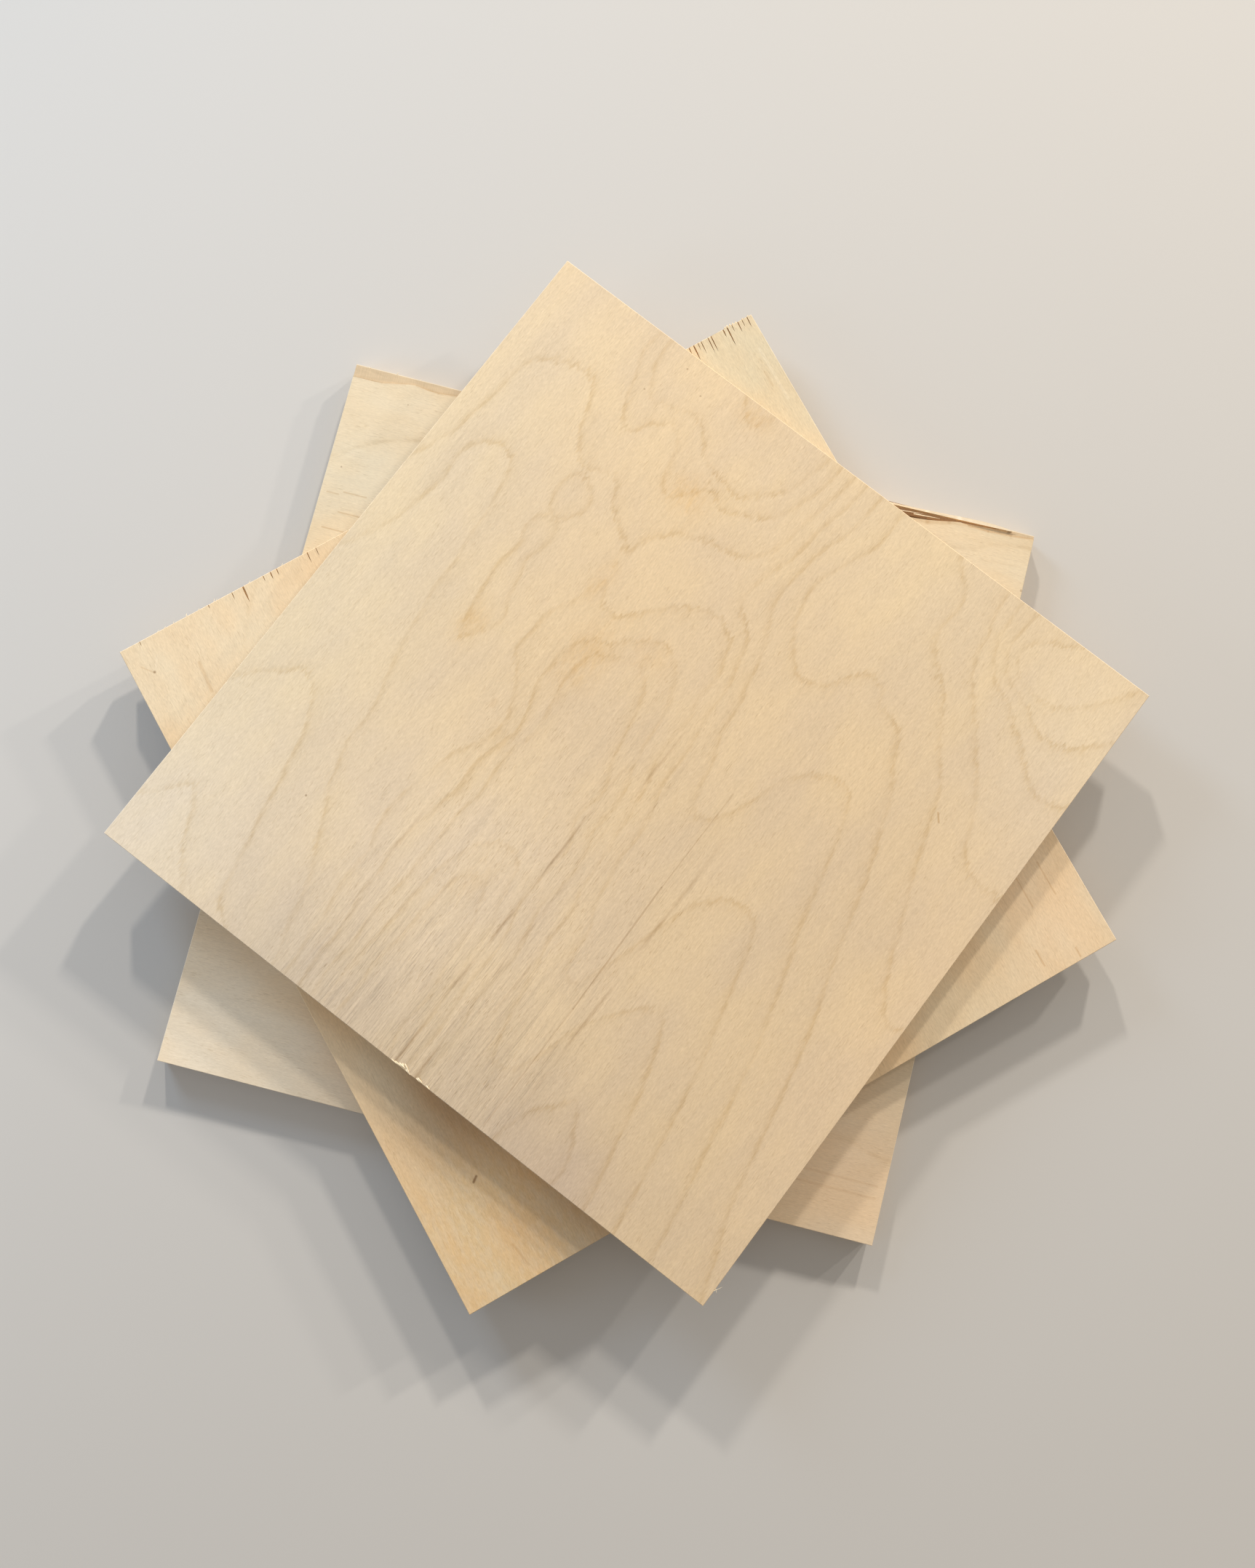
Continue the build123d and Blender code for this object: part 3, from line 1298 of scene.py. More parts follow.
@dataclass
class Studio:
    """The floor, the lamps and the camera of the photograph's view.

    The camera's eye is in millimetres, its turns are in degrees, and the floor's sizes are in
    metres. The floor's tone falls where its light goes over the limit, so that it stays under
    white, and the knee says how sharply.
    """

    picture_turn: float = 14.439
    tip: float = 5.347
    roll: float = -0.886
    eye: tuple[float, float, float] = (6.3, -22.2, 539.7)
    focal_share: float = 1727 / 2156
    shift: float = -0.0351
    sensor: float = 36.0
    nearest: float = 0.01
    ambient: float = 0.38
    floor_size: float = 8.0
    floor_opening: tuple[float, float] = (0.303, 0.306)
    floor_gap: float = 0.00002
    floor_limit: float = 1.45
    floor_knee: float = 8.0
    floor_tone: Tone = (208, 205, 200)
    floor_roughness: float = 0.9
    floor_specular: float = 0.1
    warm_white: Share = (1.0, 0.934, 0.849)
    cool_white: Share = (0.53, 0.735, 1.0)
    room_white: Share = (1.0, 0.93, 0.85)

    def lamps(self) -> tuple[Lamp, ...]:
        """Lists the row of lamps beyond the stack, and the cooler fills at its left.

        Returns:
            The lamps.
        """
        # Name, right, up, height, width, share and white.
        return (
            Lamp("first_lamp", -0.305, 1.956, 0.9, 0.10, 0.171, self.warm_white),
            Lamp("main_lamp", 0.68, 1.84, 0.9, 0.10, 0.198, self.warm_white),
            Lamp("third_lamp", 1.65, 1.75, 0.9, 0.10, 0.107, self.warm_white),
            Lamp("last_lamp", 2.6, 1.66, 0.9, 0.10, 0.054, self.warm_white),
            Lamp("high_fill", -0.62, 0.80, 0.42, 0.30, 0.14, self.cool_white),
            Lamp("low_fill", -0.80, -0.10, 0.30, 0.30, 0.05, self.cool_white),
        )

    def build(self) -> None:
        """Sets up the camera, the lamps, the world and the floor."""
        self.add_camera()
        self.add_lamps()
        self.add_world()
        self.add_floor()
        bpy.context.scene.view_settings.view_transform = "Standard"

    def add_camera(self) -> None:
        """Puts the camera where the photograph was taken from."""
        data = bpy.data.cameras.new("camera")
        data.sensor_width = self.sensor
        data.lens = self.focal_share * self.sensor
        data.shift_y = self.shift
        data.clip_start = self.nearest
        camera = bpy.data.objects.new("camera", data)
        bpy.context.scene.collection.objects.link(camera)
        turn = Matrix.Rotation(math.radians(self.picture_turn), 4, "Z")
        turn @= Matrix.Rotation(math.radians(self.tip), 4, "X")
        turn @= Matrix.Rotation(math.radians(self.roll), 4, "Y")
        camera.rotation_euler = turn.to_euler()
        camera.location = Vector(self.eye) * MM
        bpy.context.scene.camera = camera

    def add_lamps(self) -> None:
        """Hangs the softboxes, each turned towards the stack and as strong as its share asks."""
        for lamp in self.lamps():
            place = lamp.place(self.picture_turn)
            data = bpy.data.lights.new(lamp.name, "AREA")
            data.shape = "SQUARE"
            data.size = lamp.width
            data.color = lamp.white
            # The light that a level face at the origin gets for its share of a white one.
            slant = place.length / place.z
            data.energy = lamp.share * math.pi**2 * place.length_squared * slant
            light = bpy.data.objects.new(lamp.name, data)
            bpy.context.scene.collection.objects.link(light)
            light.visible_camera = False
            light.location = place
            light.rotation_euler = place.to_track_quat("Z", "Y").to_euler()
            log.info("%s: %.1f W", lamp.name, data.energy)

    def add_world(self) -> None:
        """Fills the room with soft light."""
        world = bpy.data.worlds.new("soft_room")
        world.use_nodes = True
        background = world.node_tree.nodes["Background"]
        background.inputs["Color"].default_value = (*self.room_white, 1.0)
        background.inputs["Strength"].default_value = self.ambient
        bpy.context.scene.world = world

    def add_floor(self) -> None:
        """Lays the plain pale floor, which is open under the stack and seen through from below."""
        bpy.ops.object.select_all(action="DESELECT")
        bpy.ops.mesh.primitive_plane_add(size=self.floor_size, location=(0, 0, -self.floor_gap))
        floor = bpy.context.active_object
        floor.name = "floor"
        bpy.ops.object.transform_apply(location=True)
        bpy.ops.object.mode_set(mode="EDIT")
        bpy.ops.mesh.select_all(action="SELECT")
        wide, deep = self.floor_opening
        bpy.ops.mesh.inset(thickness=(self.floor_size - wide) / 2)
        bpy.ops.transform.resize(value=(1.0, deep / wide, 1.0), center_override=(0.0, 0.0, 0.0))
        bpy.ops.mesh.delete(type="FACE")
        bpy.ops.object.mode_set(mode="OBJECT")
        floor.data.materials.append(self.floor_finish())

    def floor_finish(self) -> bpy.types.Material:
        """Builds the floor's material.

        Returns:
            The material.
        """
        wiring = Wiring("floor")
        spot = wiring.node("ShaderNodeTexCoord", {}, {}, "Object")
        lamps = (lamp.light_at(wiring, spot, self.picture_turn) for lamp in self.lamps())
        over = ((self.ambient + sum(lamps)) * (1 / self.floor_limit)).math("POWER", self.floor_knee)
        kept = (1 + over).math("POWER", -1 / self.floor_knee)
        tone = wiring.vector_math("SCALE", {0: linear(self.floor_tone)[:3], "Scale": kept})
        wiring.join(tone, wiring.shader.inputs["Base Color"])
        wiring.see_through(wiring.node("ShaderNodeNewGeometry", {}, {}, "Backfacing"))
        wiring.join(self.floor_roughness, wiring.shader.inputs["Roughness"])
        wiring.join(self.floor_specular, wiring.shader.inputs["Specular IOR Level"])
        return wiring.material


# Growth-ring lines, read from the photograph. Each row is a ring number and points of
# (distance along the grain, distance across it) in millimetres from the face's own corner. A
# fraction holds the ground between two lines, and a row of one point is a crest or a saddle.
TOP_LINES: tuple[Line, ...] = (
    (3, ((23, 3), (31, 10), (37, 16), (30, 22), (14, 29), (2, 39))),
    (2, ((81, 0), (90, 8), (97, 17), (101, 22), (97, 30), (82, 38), (62, 42.5), (42, 46), (24, 50),
        (7, 54), (0, 63))),
    (1, ((150, 0), (160, 6), (171, 11), (188, 15), (200, 17), (214, 16), (221, 20), (225, 27),
        (223, 34), (212, 38), (198, 40.5), (175, 43), (150, 45), (118, 51), (88, 54.5), (68, 61),
        (50, 70), (34, 78), (12, 83.5), (2, 87))),
    (0, ((197, 0), (218, 8), (240, 11.5), (260, 14), (268, 23), (272, 35), (269, 42), (258, 47),
        (243, 54), (225, 57.5), (200, 58.5), (170, 59), (152, 63), (158, 69), (175, 70), (195, 66),
        (215, 63.5), (236, 61.5), (242, 67), (243, 74), (231, 83), (225, 92), (214, 96),
        (200, 93.5), (190, 91.5), (182, 87), (170, 86), (158, 87), (150, 94), (140, 99),
        (122, 97.5), (108, 90.5), (95, 88), (60, 89), (30, 91), (0, 92))),
    (-1, ((0, 100.5), (18, 99), (45, 97), (64, 96), (82, 98.5), (100, 102), (118, 102),
        (132, 106.5), (150, 102.5), (165, 101), (179, 104), (186, 114), (195, 124), (199, 131),
        (197, 139), (186, 147), (168, 151), (150, 154), (120, 156.5), (85, 158), (40, 160),
        (0, 161))),
    (-2, ((0, 107), (24, 107), (60, 108), (95, 108.5), (130, 110), (165, 109), (180, 114),
        (187, 127), (184, 134), (175, 139.5), (150, 145), (135, 150), (110, 152.5), (70, 153.5),
        (0, 154))),
    (-3, ((0, 112), (22, 112), (45, 114), (65, 115.5), (80, 119), (91, 125), (95, 132), (91, 141),
        (75, 144), (58, 148), (30, 150), (0, 150.5))),
    (-4, ((0, 119), (30, 119), (55, 121), (72, 124), (79, 131), (72, 138), (55, 142), (30, 145),
        (0, 146))),
    (0, ((304, 153), (285, 150), (262, 146), (252, 140), (247, 132), (244, 119), (240, 109),
        (231, 101), (222, 97.8), (206, 97.8), (200, 101), (198, 111), (208, 120), (218, 131),
        (222, 144), (218, 153), (205, 158), (183, 159.5), (150, 162), (120, 166), (90, 169.5),
        (60, 172.5), (38, 176.5), (24, 183), (28, 190), (42, 195.5), (57, 200.5), (68, 208),
        (78, 217), (80, 222), (68, 229.5), (52, 234.5), (30, 239), (12, 243), (0, 244.5))),
    (1, ((304, 159), (285, 156), (268, 154), (252, 150), (240, 147), (230, 150), (224, 157.5),
        (210, 162), (185, 164.5), (151, 167.5), (120, 171.5), (98, 175), (80, 180), (67, 185),
        (72, 190), (90, 196.5), (106, 201), (122, 207), (131, 215), (134, 224), (131, 231),
        (115, 237), (88, 243.5), (62, 249.5), (30, 255), (0, 259.5))),
    (2, ((304, 167), (285, 165.5), (268, 160), (250, 158), (236, 160.5), (222, 167), (206, 170.5),
        (183, 174), (165, 179.5), (152, 187), (157, 194), (170, 200), (184, 205), (192, 211),
        (198, 221), (196, 231), (182, 236.5), (165, 241), (140, 247), (115, 255), (92, 261.5),
        (65, 267), (35, 272), (12, 276), (0, 277.5))),
    (3, ((304, 178.5), (290, 178), (278, 174.5), (266, 169), (254, 167), (242, 169.5), (232, 175),
        (224, 190), (229, 197), (241, 206), (241, 213), (232, 221), (232, 229), (215, 239),
        (195, 248), (170, 257), (150, 262.5), (122, 271), (93, 278.5), (66, 284), (36, 290.5),
        (10, 300))),
    (4, ((304, 209), (294, 218), (280, 219.5), (269, 221), (260, 229), (252, 238), (238, 246),
        (222, 258), (200, 266), (180, 273), (155, 283), (140, 290), (132, 297), (133, 304))),
    (5, ((304, 233), (285, 236.5), (268, 241), (255, 251), (240, 263), (222, 275), (207, 282),
        (200, 291), (200, 304))),
    (6, ((304, 240), (286, 241), (275, 247), (267, 260), (258, 271), (250, 281), (243, 290),
        (247, 304))),
    (7, ((304, 248), (290, 246.5), (280, 250), (273, 261), (266, 274), (265, 283), (270, 294),
        (280, 304))),
    (8, ((302, 266), (297, 257), (289, 251.5), (281, 254), (277, 263), (280, 280), (291, 291),
        (304, 300))),
    (-1, ((304, 50.5), (285, 53.5), (270, 58), (262, 65), (271, 72), (276, 79), (262, 88),
        (250, 95), (259, 104), (263, 109), (260, 118), (264, 127), (271, 137), (283, 142),
        (304, 146))),
    (-2, ((304, 56), (290, 58), (279, 65), (282, 76), (284, 86), (274, 97), (270, 108), (267, 117),
        (274, 126), (284, 135), (304, 140))),
    (-3, ((304, 96), (298, 100), (296, 104), (298, 108), (304, 111))),
    (3.4, ((0, 12), (8, 22))),
    (-0.4, ((285, 20), (300, 10), (290, 35), (300, 40))),
    (-0.15, ((170, 64), (185, 63.5), (205, 61.5), (225, 60))),
    (0.4, ((200, 50), (190, 75))),
    (0.35, ((213, 106),)),
    (0.15, ((213, 101),)),
    (0.3, ((213, 90),)),
    (-2.6, ((125, 128),)),
    (-4.5, ((10, 132),)),
    (-0.35, ((8, 184),)),
    (-2.4, ((300, 75), (300, 86), (300, 120))),
    (-1, ((5, 200), (12, 202.5), (18, 204.5), (24, 210), (32, 217), (24, 222.5), (14, 227.5),
        (6, 229))),
)
MIDDLE_LINES: tuple[Line, ...] = (
    (0, ((275, 262), (290, 270), (303, 277))),
    (0.45, ((262, 300), (300, 300), (280, 285))),
    (-0.45, ((300, 262), (280, 250), (303, 240))),
    (1, ((5, 60), (12, 54), (25, 46), (40, 44))),
    (0.5, ((5, 30), (25, 25), (40, 20))),
    (0.4, ((10, 300), (30, 290), (10, 270))),
    (0.5, ((265, 5), (295, 10), (300, 40))),
    (2.5, ((150, 150),)),
)
BOTTOM_LINES: tuple[Line, ...] = (
    (1, ((1, 42), (10, 36), (14, 34), (22, 30), (33, 27), (50, 24))),
    (0.6, ((5, 15), (25, 12), (45, 8))),
    (1.4, ((5, 75), (25, 60), (10, 90))),
    (1, ((272, 14), (280, 11.5), (285, 9), (290, 7.5), (297, 6.5), (303, 6.3))),
    (0.7, ((260, 3), (285, 2))),
    (1.5, ((275, 30), (300, 35), (300, 60))),
    (3, ((262, 265), (284, 268), (300, 272))),
    (2.6, ((280, 240), (300, 240))),
    (3.4, ((270, 295), (300, 296))),
    (3.4, ((5, 300), (30, 298))),
    (3.6, ((5, 260), (20, 270))),
    (2.5, ((150, 150),)),
)

# How the squares lie, each on the one below.
TOP_PLACE = SheetPlace(
    length=305.5, width=304.5, middle=(7.6, 13.0), turn=66.8,
    underside=2 * SheetPlace.thickness, from_far=1,
)
MIDDLE_PLACE = SheetPlace(
    length=305.5, width=303.5, middle=(4.1, -0.9), turn=-46.5,
    underside=SheetPlace.thickness, from_far=-1,
)
BOTTOM_PLACE = SheetPlace(
    length=303.5, width=306.5, middle=(0.0, 0.0), turn=0.0, underside=0.0, from_far=1,
)

# What the faces carry besides: small marks, soft orange patches, places where the figure is
# bolder or fainter, and wide washes, some of which are painted light and painted shade.
TOP_MARKS = (
    Mark((61.5, 55), (61.5, 55), 0.7, StainAndPaintedLight.DARK, 0.7),
    Mark((281, 60), (281, 60), 0.6, StainAndPaintedLight.DARK, 0.6),
    Mark((299, 69), (299, 69), 0.6, StainAndPaintedLight.DARK, 0.6),
    Mark((293, 80.5), (293, 80.5), 0.6, StainAndPaintedLight.DARK, 0.5),
    Mark((210, 266), (213, 263.5), 0.6, StainAndPaintedLight.BROWN, 1.0),
    Mark((137, 92), (138.5, 92), 2.2, StainAndPaintedLight.BROWN, 0.3),
    Mark((2, 193.2), (60, 193.4), 0.5, StainAndPaintedLight.GREY, 0.55),
    Mark((60, 193.4), (120, 192.2), 0.55, StainAndPaintedLight.GREY, 0.85),
    Mark((120, 192.2), (168, 192.4), 0.4, StainAndPaintedLight.GREY, 0.6),
)
TOP_PATCHES = (
    Patch((158, 64), 9, 5, 0.8),
    Patch((175, 110), 15, 9, 0.65),
    Patch((193, 131), 7, 8, 0.4),
    Patch((256, 102), 8, 9, 0.8),
    Patch((205, 96), 9, 4, 0.6),
    Patch((300, 104), 6, 8, 0.6),
    Patch((77, 130), 10, 6, 0.35),
)
TOP_BOLDER = (
    Patch((130, 97.5), 24, 3.5, -0.9),
    Patch((118, 104), 34, 4.5, 2.2),
    Patch((100, 89), 20, 3.0, -0.4),
)
TOP_WASHES = (
    # The two paler, bluer washes at the west corner are partly the veneer's own tone and partly
    # painted cool light.
    Wash((20, 50), 110, 110, (1.05, 1.09, 1.15)),
    Wash((0, 0), 55, 55, (1.03, 1.09, 1.22)),
    Wash((75, 125), 45, 50, (1.05, 1.08, 1.15)),
    Wash((160, 0), 170, 60, (1.01, 1.08, 1.16)),
    Wash((265, 295), 60, 35, (1.03, 1.07, 1.15)),
    Wash((300, 230), 60, 110, (1.03, 1.06, 1.08)),
    Wash((120, 305), 90, 30, (1.07, 1.06, 1.06)),
    Wash((0, 165), 40, 75, (0.90, 0.92, 0.97)),
    Wash((0, 88), 30, 28, (0.88, 0.91, 1.0)),
    Wash((0, 226), 30, 30, (0.89, 0.89, 0.97)),
)
MIDDLE_WASHES = (
    Wash((20, 285), 60, 50, (0.88, 0.94, 0.97)),
    Wash((15, 10), 40, 35, (1.04, 1.07, 1.11)),
    Wash((30, 60), 40, 25, (1.03, 1.06, 1.10)),
    Wash((275, 285), 40, 25, (1.08, 1.09, 1.14)),
    # Painted shade: the top sheet's shadow at the middle sheet's south corner.
    Wash((294, 60), 32, 30, (0.85, 0.80, 0.77)),
    # Painted shade: the top sheet's shadow under its south-west edge.
    Wash((230, 30), 32, 22, (0.72, 0.64, 0.58)),
)
BOTTOM_WASHES = (
    # Painted light: the south-west corner paler and bluer, for cool light from the west.
    Wash((10, 295), 80, 80, (1.22, 1.25, 1.36)),
    # Painted shade under the sheets above.
    Wash((90, 285), 30, 25, (0.98, 0.90, 0.86)),
    Wash((290, 285), 45, 50, (1.12, 1.06, 1.07)),
    Wash((12, 45), 30, 20, (0.98, 1.02, 1.07)),
)
MIDDLE_PATCHES = (
    Patch((285, 25), 50, 45),
)
MIDDLE_MARKS = (
    Mark((10, 5), (15, 9), 0.5, StainAndPaintedLight.BROWN, 0.5),
    Mark((14.5, 9), (14.5, 9), 0.9, StainAndPaintedLight.DARK, 0.8),
    Mark((15, 9), (9, 13), 0.5, StainAndPaintedLight.PALE, 0.35),
    Mark((20, 27), (33, 26), 1.2, StainAndPaintedLight.BROWN, 0.5),
    Mark((25, 296), (32, 296), 0.8, StainAndPaintedLight.BROWN, 0.4),
    Mark((15, 299), (40, 299), 1.0, StainAndPaintedLight.PALE, 0.6),
    Mark((261, 26), (259.5, 28), 0.8, StainAndPaintedLight.DARK, 0.9),
    Mark((290, 28), (300, 30), 0.8, StainAndPaintedLight.BROWN, 0.4),
    Mark((293, 272), (300, 272), 0.6, StainAndPaintedLight.BROWN, 0.7),
    Mark((300, 287), (304, 287), 0.6, StainAndPaintedLight.BROWN, 0.7),
    Mark((262, 280), (277, 280), 0.5, StainAndPaintedLight.BROWN, 0.6),
    Mark((262, 291), (277, 291), 0.5, StainAndPaintedLight.BROWN, 0.6),
)
# Along the lips of the torn veneer. The three brown marks at the north-east end and the dark line at
# the west end are painted shade at the lip; the other brown marks are the wood's own.
LIP_MARKS = (
    Mark((304, 1.6), (293.5, 2.7), 0.9, StainAndPaintedLight.BROWN, 0.5),
    Mark((293.5, 2.7), (283.5, 3.2), 0.9, StainAndPaintedLight.BROWN, 0.55),
    Mark((283.5, 3.2), (275, 2.9), 0.9, StainAndPaintedLight.BROWN, 0.5),
    Mark((0, 5.8), (13, 5.6), 0.35, StainAndPaintedLight.DARK, 0.4),
    Mark((13, 5.6), (23, 3.8), 0.8, StainAndPaintedLight.BROWN, 0.3),
    Mark((28, 3.2), (38, 4.0), 0.8, StainAndPaintedLight.BROWN, 0.35),
    Mark((38, 4.0), (60, 1.8), 0.9, StainAndPaintedLight.BROWN, 0.4),
)
TORN_MARKS = (
    *LIP_MARKS,
    # The light marks make the narrow east end of the void less dark, lifting part of its painted
    # shade.
    Mark((258, 3.0), (270, 2.2), 1.6, StainAndPaintedLight.LIGHT, 0.5),
    Mark((270, 2.2), (291, 0.9), 1.4, StainAndPaintedLight.LIGHT, 1.0),
)
BOTTOM_MARKS = (
    *LIP_MARKS,
    Mark((10, 56.5), (20, 56.5), 0.5, StainAndPaintedLight.BROWN, 0.7),
    Mark((3, 58), (8, 58), 0.5, StainAndPaintedLight.BROWN, 0.6),
    Mark((10, 65.5), (20, 65.5), 0.5, StainAndPaintedLight.BROWN, 0.7),
    Mark((5, 73.5), (15, 73.5), 0.5, StainAndPaintedLight.BROWN, 0.7),
    Mark((26.5, 12.3), (26.5, 12.3), 0.5, StainAndPaintedLight.DARK, 0.6),
    Mark((6, 46), (6, 46), 0.6, StainAndPaintedLight.DARK, 0.6),
    Mark((284, 16), (300, 15), 0.9, StainAndPaintedLight.BROWN, 0.15),
    Mark((290, 20), (303, 22), 0.9, StainAndPaintedLight.BROWN, 0.12),
    Mark((303, 25), (303, 25), 0.9, StainAndPaintedLight.DARK, 0.5),
    Mark((262, 283), (300, 283), 0.8, StainAndPaintedLight.BROWN, 0.3),
    Mark((262, 288), (300, 288), 0.8, StainAndPaintedLight.BROWN, 0.3),
    # The raised splinter: pale torn wood with a painted highlight where it catches the light.
    Mark((238, 1.8), (256, 1.2), 1.6, StainAndPaintedLight.PALE, 1.0),
    Mark((256, 1.2), (270, 0.7), 1.6, StainAndPaintedLight.PALE, 1.0),
    Mark((270, 0.7), (293, 0.3), 1.6, StainAndPaintedLight.PALE, 1.0),
    # Painted shade on the face where the torn veneer slopes down into the void.
    Mark((238, 6.6), (257, 5.6), 1.7, StainAndPaintedLight.BROWN, 0.55),
    Mark((257, 5.6), (266, 3.6), 1.6, StainAndPaintedLight.BROWN, 0.55),
    Mark((266, 3.6), (276, 2.8), 1.2, StainAndPaintedLight.BROWN, 0.45),
)

# Loose fibres: the root and the tip of each as (along, across, height), and its width.
TOP_SLIVERS = (
    Sliver((7.0, 304.3, 8.9), (10.5, 306.2, 9.1), 0.22),
    Sliver((8.4, 304.4, 8.8), (7.2, 305.8, 9.0), 0.18),
    Sliver((0.4, 147.8, 8.9), (0.2, 150.8, 9.1), 0.5),
    Sliver((0.6, 149.6, 8.9), (0.5, 152.8, 9.1), 0.6),
    Sliver((1.0, 151.4, 8.9), (0.9, 154.8, 9.2), 0.8),
    Sliver((1.8, 152.4, 8.9), (0.7, 154.4, 9.2), 0.6),
    Sliver((2.1, 153.4, 8.9), (1.0, 156.2, 9.1), 0.7),
    Sliver((1.6, 154.6, 8.9), (0.2, 157.2, 9.1), 0.7),
    Sliver((0.6, 155.0, 8.9), (0.0, 158.0, 9.0), 0.6),
    Sliver((0.9, 160.8, 8.9), (0.4, 163.8, 9.1), 0.7),
    Sliver((0.5, 160.4, 8.9), (0.1, 162.4, 9.0), 0.5),
    Sliver((0.6, 165.4, 8.9), (0.2, 167.6, 9.1), 0.6),
)
MIDDLE_SLIVERS = (
    Sliver((0.3, 30.9, 8.8), (-1.2, 32.0, 8.9), 0.35),
    Sliver((0.3, 31.9, 8.8), (-0.8, 31.1, 9.0), 0.30),
    Sliver((0.3, 43.8, 8.8), (-1.1, 44.9, 8.9), 0.40),
    Sliver((0.3, 44.9, 8.8), (-0.7, 45.9, 8.9), 0.30),
    Sliver((0.2, 17.4, 8.9), (-0.7, 18.7, 8.9), 0.25),
    Sliver((0.2, 20.8, 8.9), (-0.6, 21.7, 8.9), 0.25),
    Sliver((0.2, 25.0, 8.9), (-0.7, 25.6, 9.0), 0.25),
    Sliver((0.2, 36.5, 8.9), (-0.6, 37.6, 8.9), 0.25),
    Sliver((0.2, 60.3, 8.9), (-0.7, 61.6, 8.9), 0.30),
    Sliver((0.2, 75.8, 8.9), (-0.7, 76.9, 8.9), 0.30),
)
MIDDLE_TUFTS = (
    Sliver((0.3, 290.4, 8.7), (-0.7, 290.9, 8.8), 0.9),
    Sliver((0.3, 291.5, 8.7), (-0.9, 292.1, 8.8), 1.1),
    Sliver((0.3, 292.8, 8.7), (-0.8, 293.4, 8.8), 1.0),
    Sliver((0.3, 294.2, 8.7), (-0.6, 294.7, 8.8), 0.9),
    Sliver((0.3, 295.6, 8.7), (-0.5, 296.1, 8.8), 0.8),
    Sliver((0.3, 299.0, 8.7), (-0.5, 299.5, 8.8), 0.7),
    Sliver((0.3, 301.5, 8.7), (-0.5, 302.1, 8.8), 0.7),
)
BOTTOM_SLIVERS = (
    Sliver((5.0, 1.2, 8.1), (6.6, -0.4, 8.4), 0.35),
    Sliver((6.2, 1.0, 8.1), (5.2, -0.3, 8.5), 0.30),
    Sliver((17.2, 0.6, 8.1), (18.8, -1.0, 8.4), 0.35),
    Sliver((19.0, 0.6, 8.1), (18.0, -0.6, 8.5), 0.30),
    Sliver((28.0, 0.5, 8.1), (29.0, -0.5, 8.4), 0.30),
    Sliver((250.5, 3.6, 8.4), (262.0, 2.9, 8.7), 0.45),
    Sliver((244.0, 3.4, 8.2), (255.0, 2.6, 8.5), 0.40),
    Sliver((291.0, 0.9, 8.7), (295.5, 0.2, 8.9), 0.45),
)


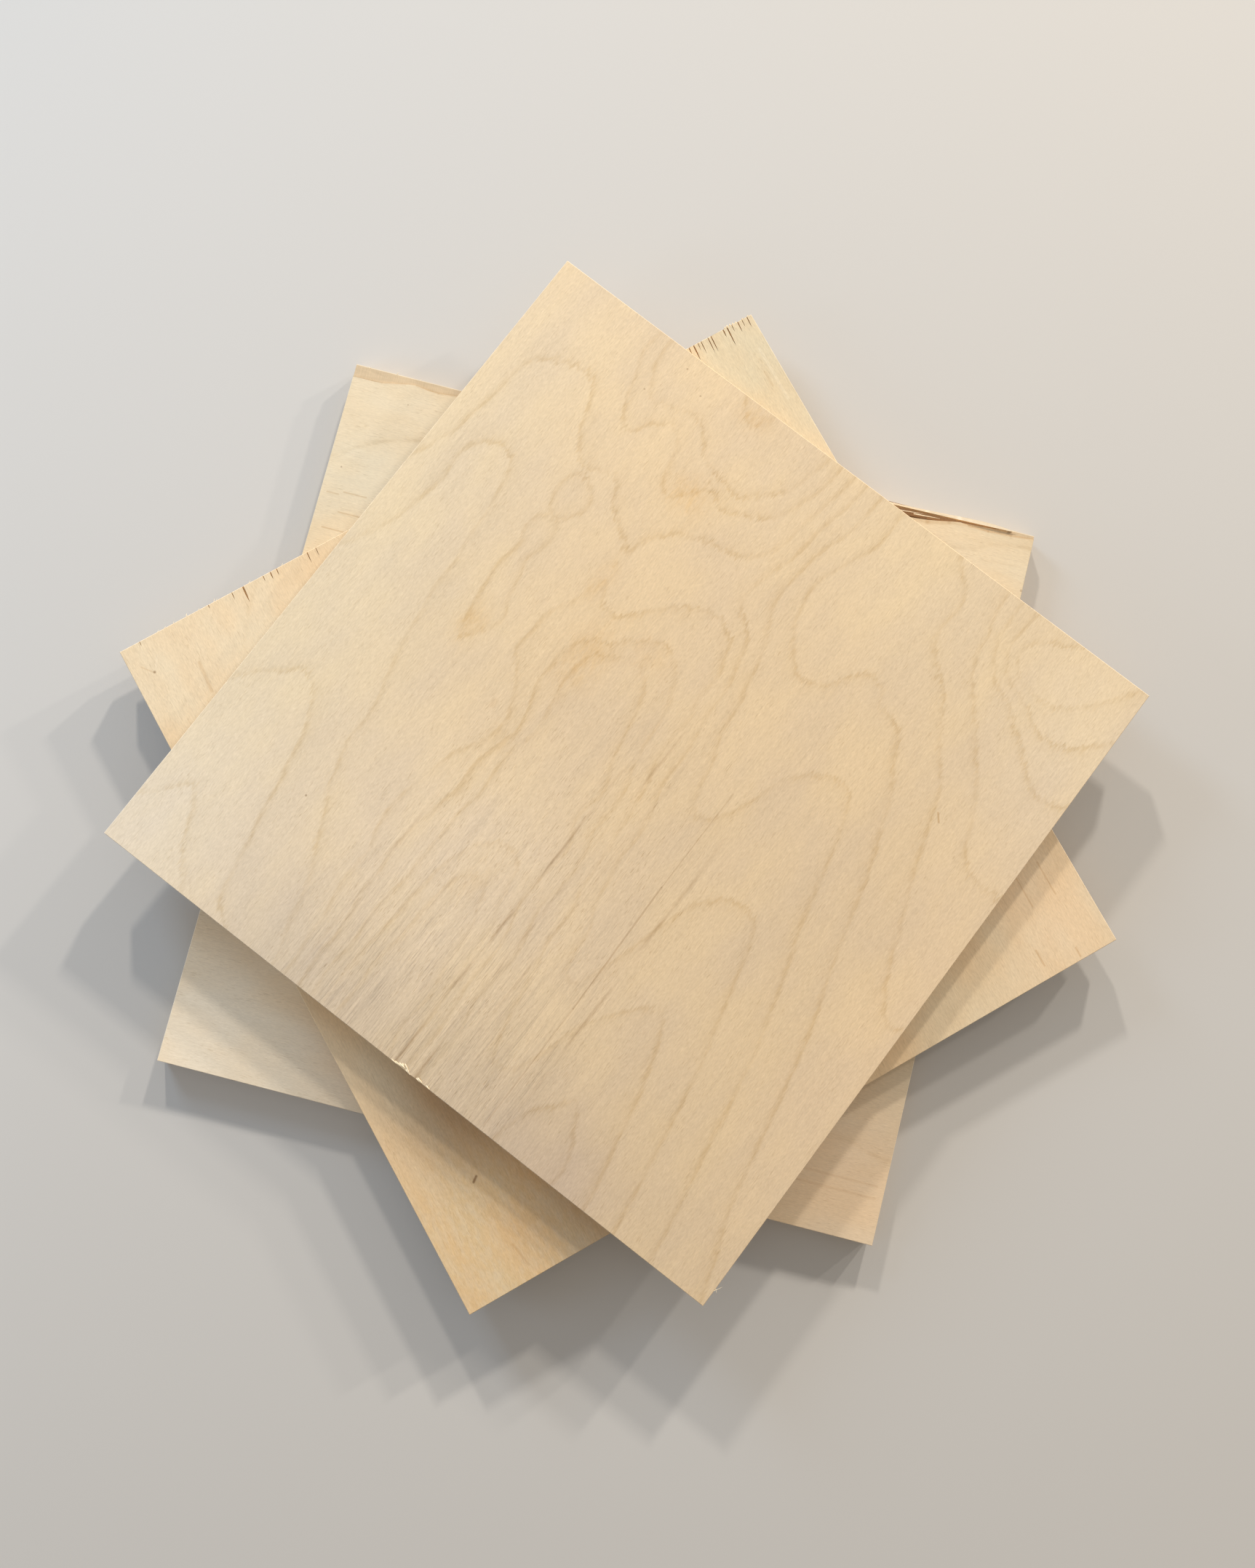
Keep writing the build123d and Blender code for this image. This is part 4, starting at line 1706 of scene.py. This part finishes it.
def make_sheets() -> tuple[DressedSheet, ...]:
    """Lists the three squares with their figures and finishes.

    Returns:
        The squares, from the bottom up.
    """
    top_face = FaceFinish(
        name="figured_face", ground=(225, 200, 165), warm=(227, 201, 162),
        line_left=(0.89, 0.85, 0.775), line_strength=0.95, ragged=1.0, faint=0.3,
        bolder=TOP_BOLDER, washes=TOP_WASHES, marks=TOP_MARKS, streak_lean=0.0084,
        long_streaks=(96, 113, 133, 142, 150, 160, 168.5, 177, 200),
    )
    middle_face = FaceFinish(
        name="warm_face", ground=(233, 212, 177), warm=(231, 203, 163), line_left=(0.88, 0.84, 0.78),
        line_strength=0.5, ragged=0.6, washes=MIDDLE_WASHES, marks=MIDDLE_MARKS,
    )
    bottom_face = FaceFinish(
        name="pale_face", ground=(229, 213, 183), warm=(226, 205, 170), line_left=(0.88, 0.85, 0.80),
        line_strength=0.8, ragged=0.6, texture=0.65, washes=BOTTOM_WASHES, marks=BOTTOM_MARKS,
    )
    # Each deep tone below is partly the inner wood's own colour and partly painted shade deep in the
    # wood.
    torn_strip = BrokenFinish(
        "torn_strip", floor=(209, 186, 152), deep=(136, 102, 68), deep_below=7.6,
        across_grain=True, marks=TORN_MARKS,
    )
    face_splits = BrokenFinish(
        "face_splits", floor=(198, 160, 112), deep=(170, 128, 84), deep_below=8.3,
        across_grain=False, rim=0.0,
    )
    chips = BrokenFinish(
        "chips", floor=(255, 234, 196), deep=(240, 214, 170), deep_below=7.0,
        across_grain=False, contrast=0.25, rim=0.0,
    )
    plain_back = ((226, 205, 168), (220, 192, 150))
    edge_tones = ((208, 184, 141), (184, 150, 105))
    at_corner = (0, 1, 0, 1)
    return (
        DressedSheet(
            node="bottom_sheet", slot="pale_plywood", place=BOTTOM_PLACE, lines=BOTTOM_LINES,
            patches=(), streaky=at_corner, step=3.0,
            finishes=(
                bottom_face,
                BackFinish("pale_back", *plain_back),
                EdgeFinish("pale_sawn_edge", *edge_tones),
                torn_strip,
            ),
        ),
        DressedSheet(
            node="middle_sheet", slot="warm_plywood", place=MIDDLE_PLACE, lines=MIDDLE_LINES,
            patches=MIDDLE_PATCHES, streaky=at_corner, step=3.0,
            finishes=(
                middle_face,
                BackFinish("warm_back", *plain_back),
                EdgeFinish("warm_sawn_edge", *edge_tones),
                face_splits,
            ),
        ),
        DressedSheet(
            node="top_sheet", slot="figured_plywood", place=TOP_PLACE, lines=TOP_LINES,
            patches=TOP_PATCHES, streaky=(-40, 165, 90, 204), step=2.0,
            finishes=(
                top_face,
                BackFinish("figured_back", *plain_back),
                EdgeFinish("figured_sawn_edge", *edge_tones),
                chips,
            ),
        ),
    )


def make_frays() -> tuple[FrayedEdge, ...]:
    """Lists the loose fibres of the three squares.

    Returns:
        The fibres of each edge, from the bottom up.
    """
    return (
        FrayedEdge("bottom_fibres", "pale_plywood", BOTTOM_PLACE, BOTTOM_SLIVERS),
        FrayedEdge("middle_fibres", "warm_plywood", MIDDLE_PLACE, MIDDLE_SLIVERS),
        FrayedEdge("middle_tufts", "warm_plywood", MIDDLE_PLACE, MIDDLE_TUFTS, (236, 211, 170)),
        FrayedEdge("top_fibres", "figured_plywood", TOP_PLACE, TOP_SLIVERS),
    )


def main() -> None:
    """Builds the studio and then the stack, from the floor up."""
    logging.basicConfig(level=logging.INFO, format="%(name)s: %(message)s")
    Studio().build()
    for sheet in make_sheets():
        sheet.build()
    for fray in make_frays():
        fray.build()


if __name__ == "__main__":
    main()
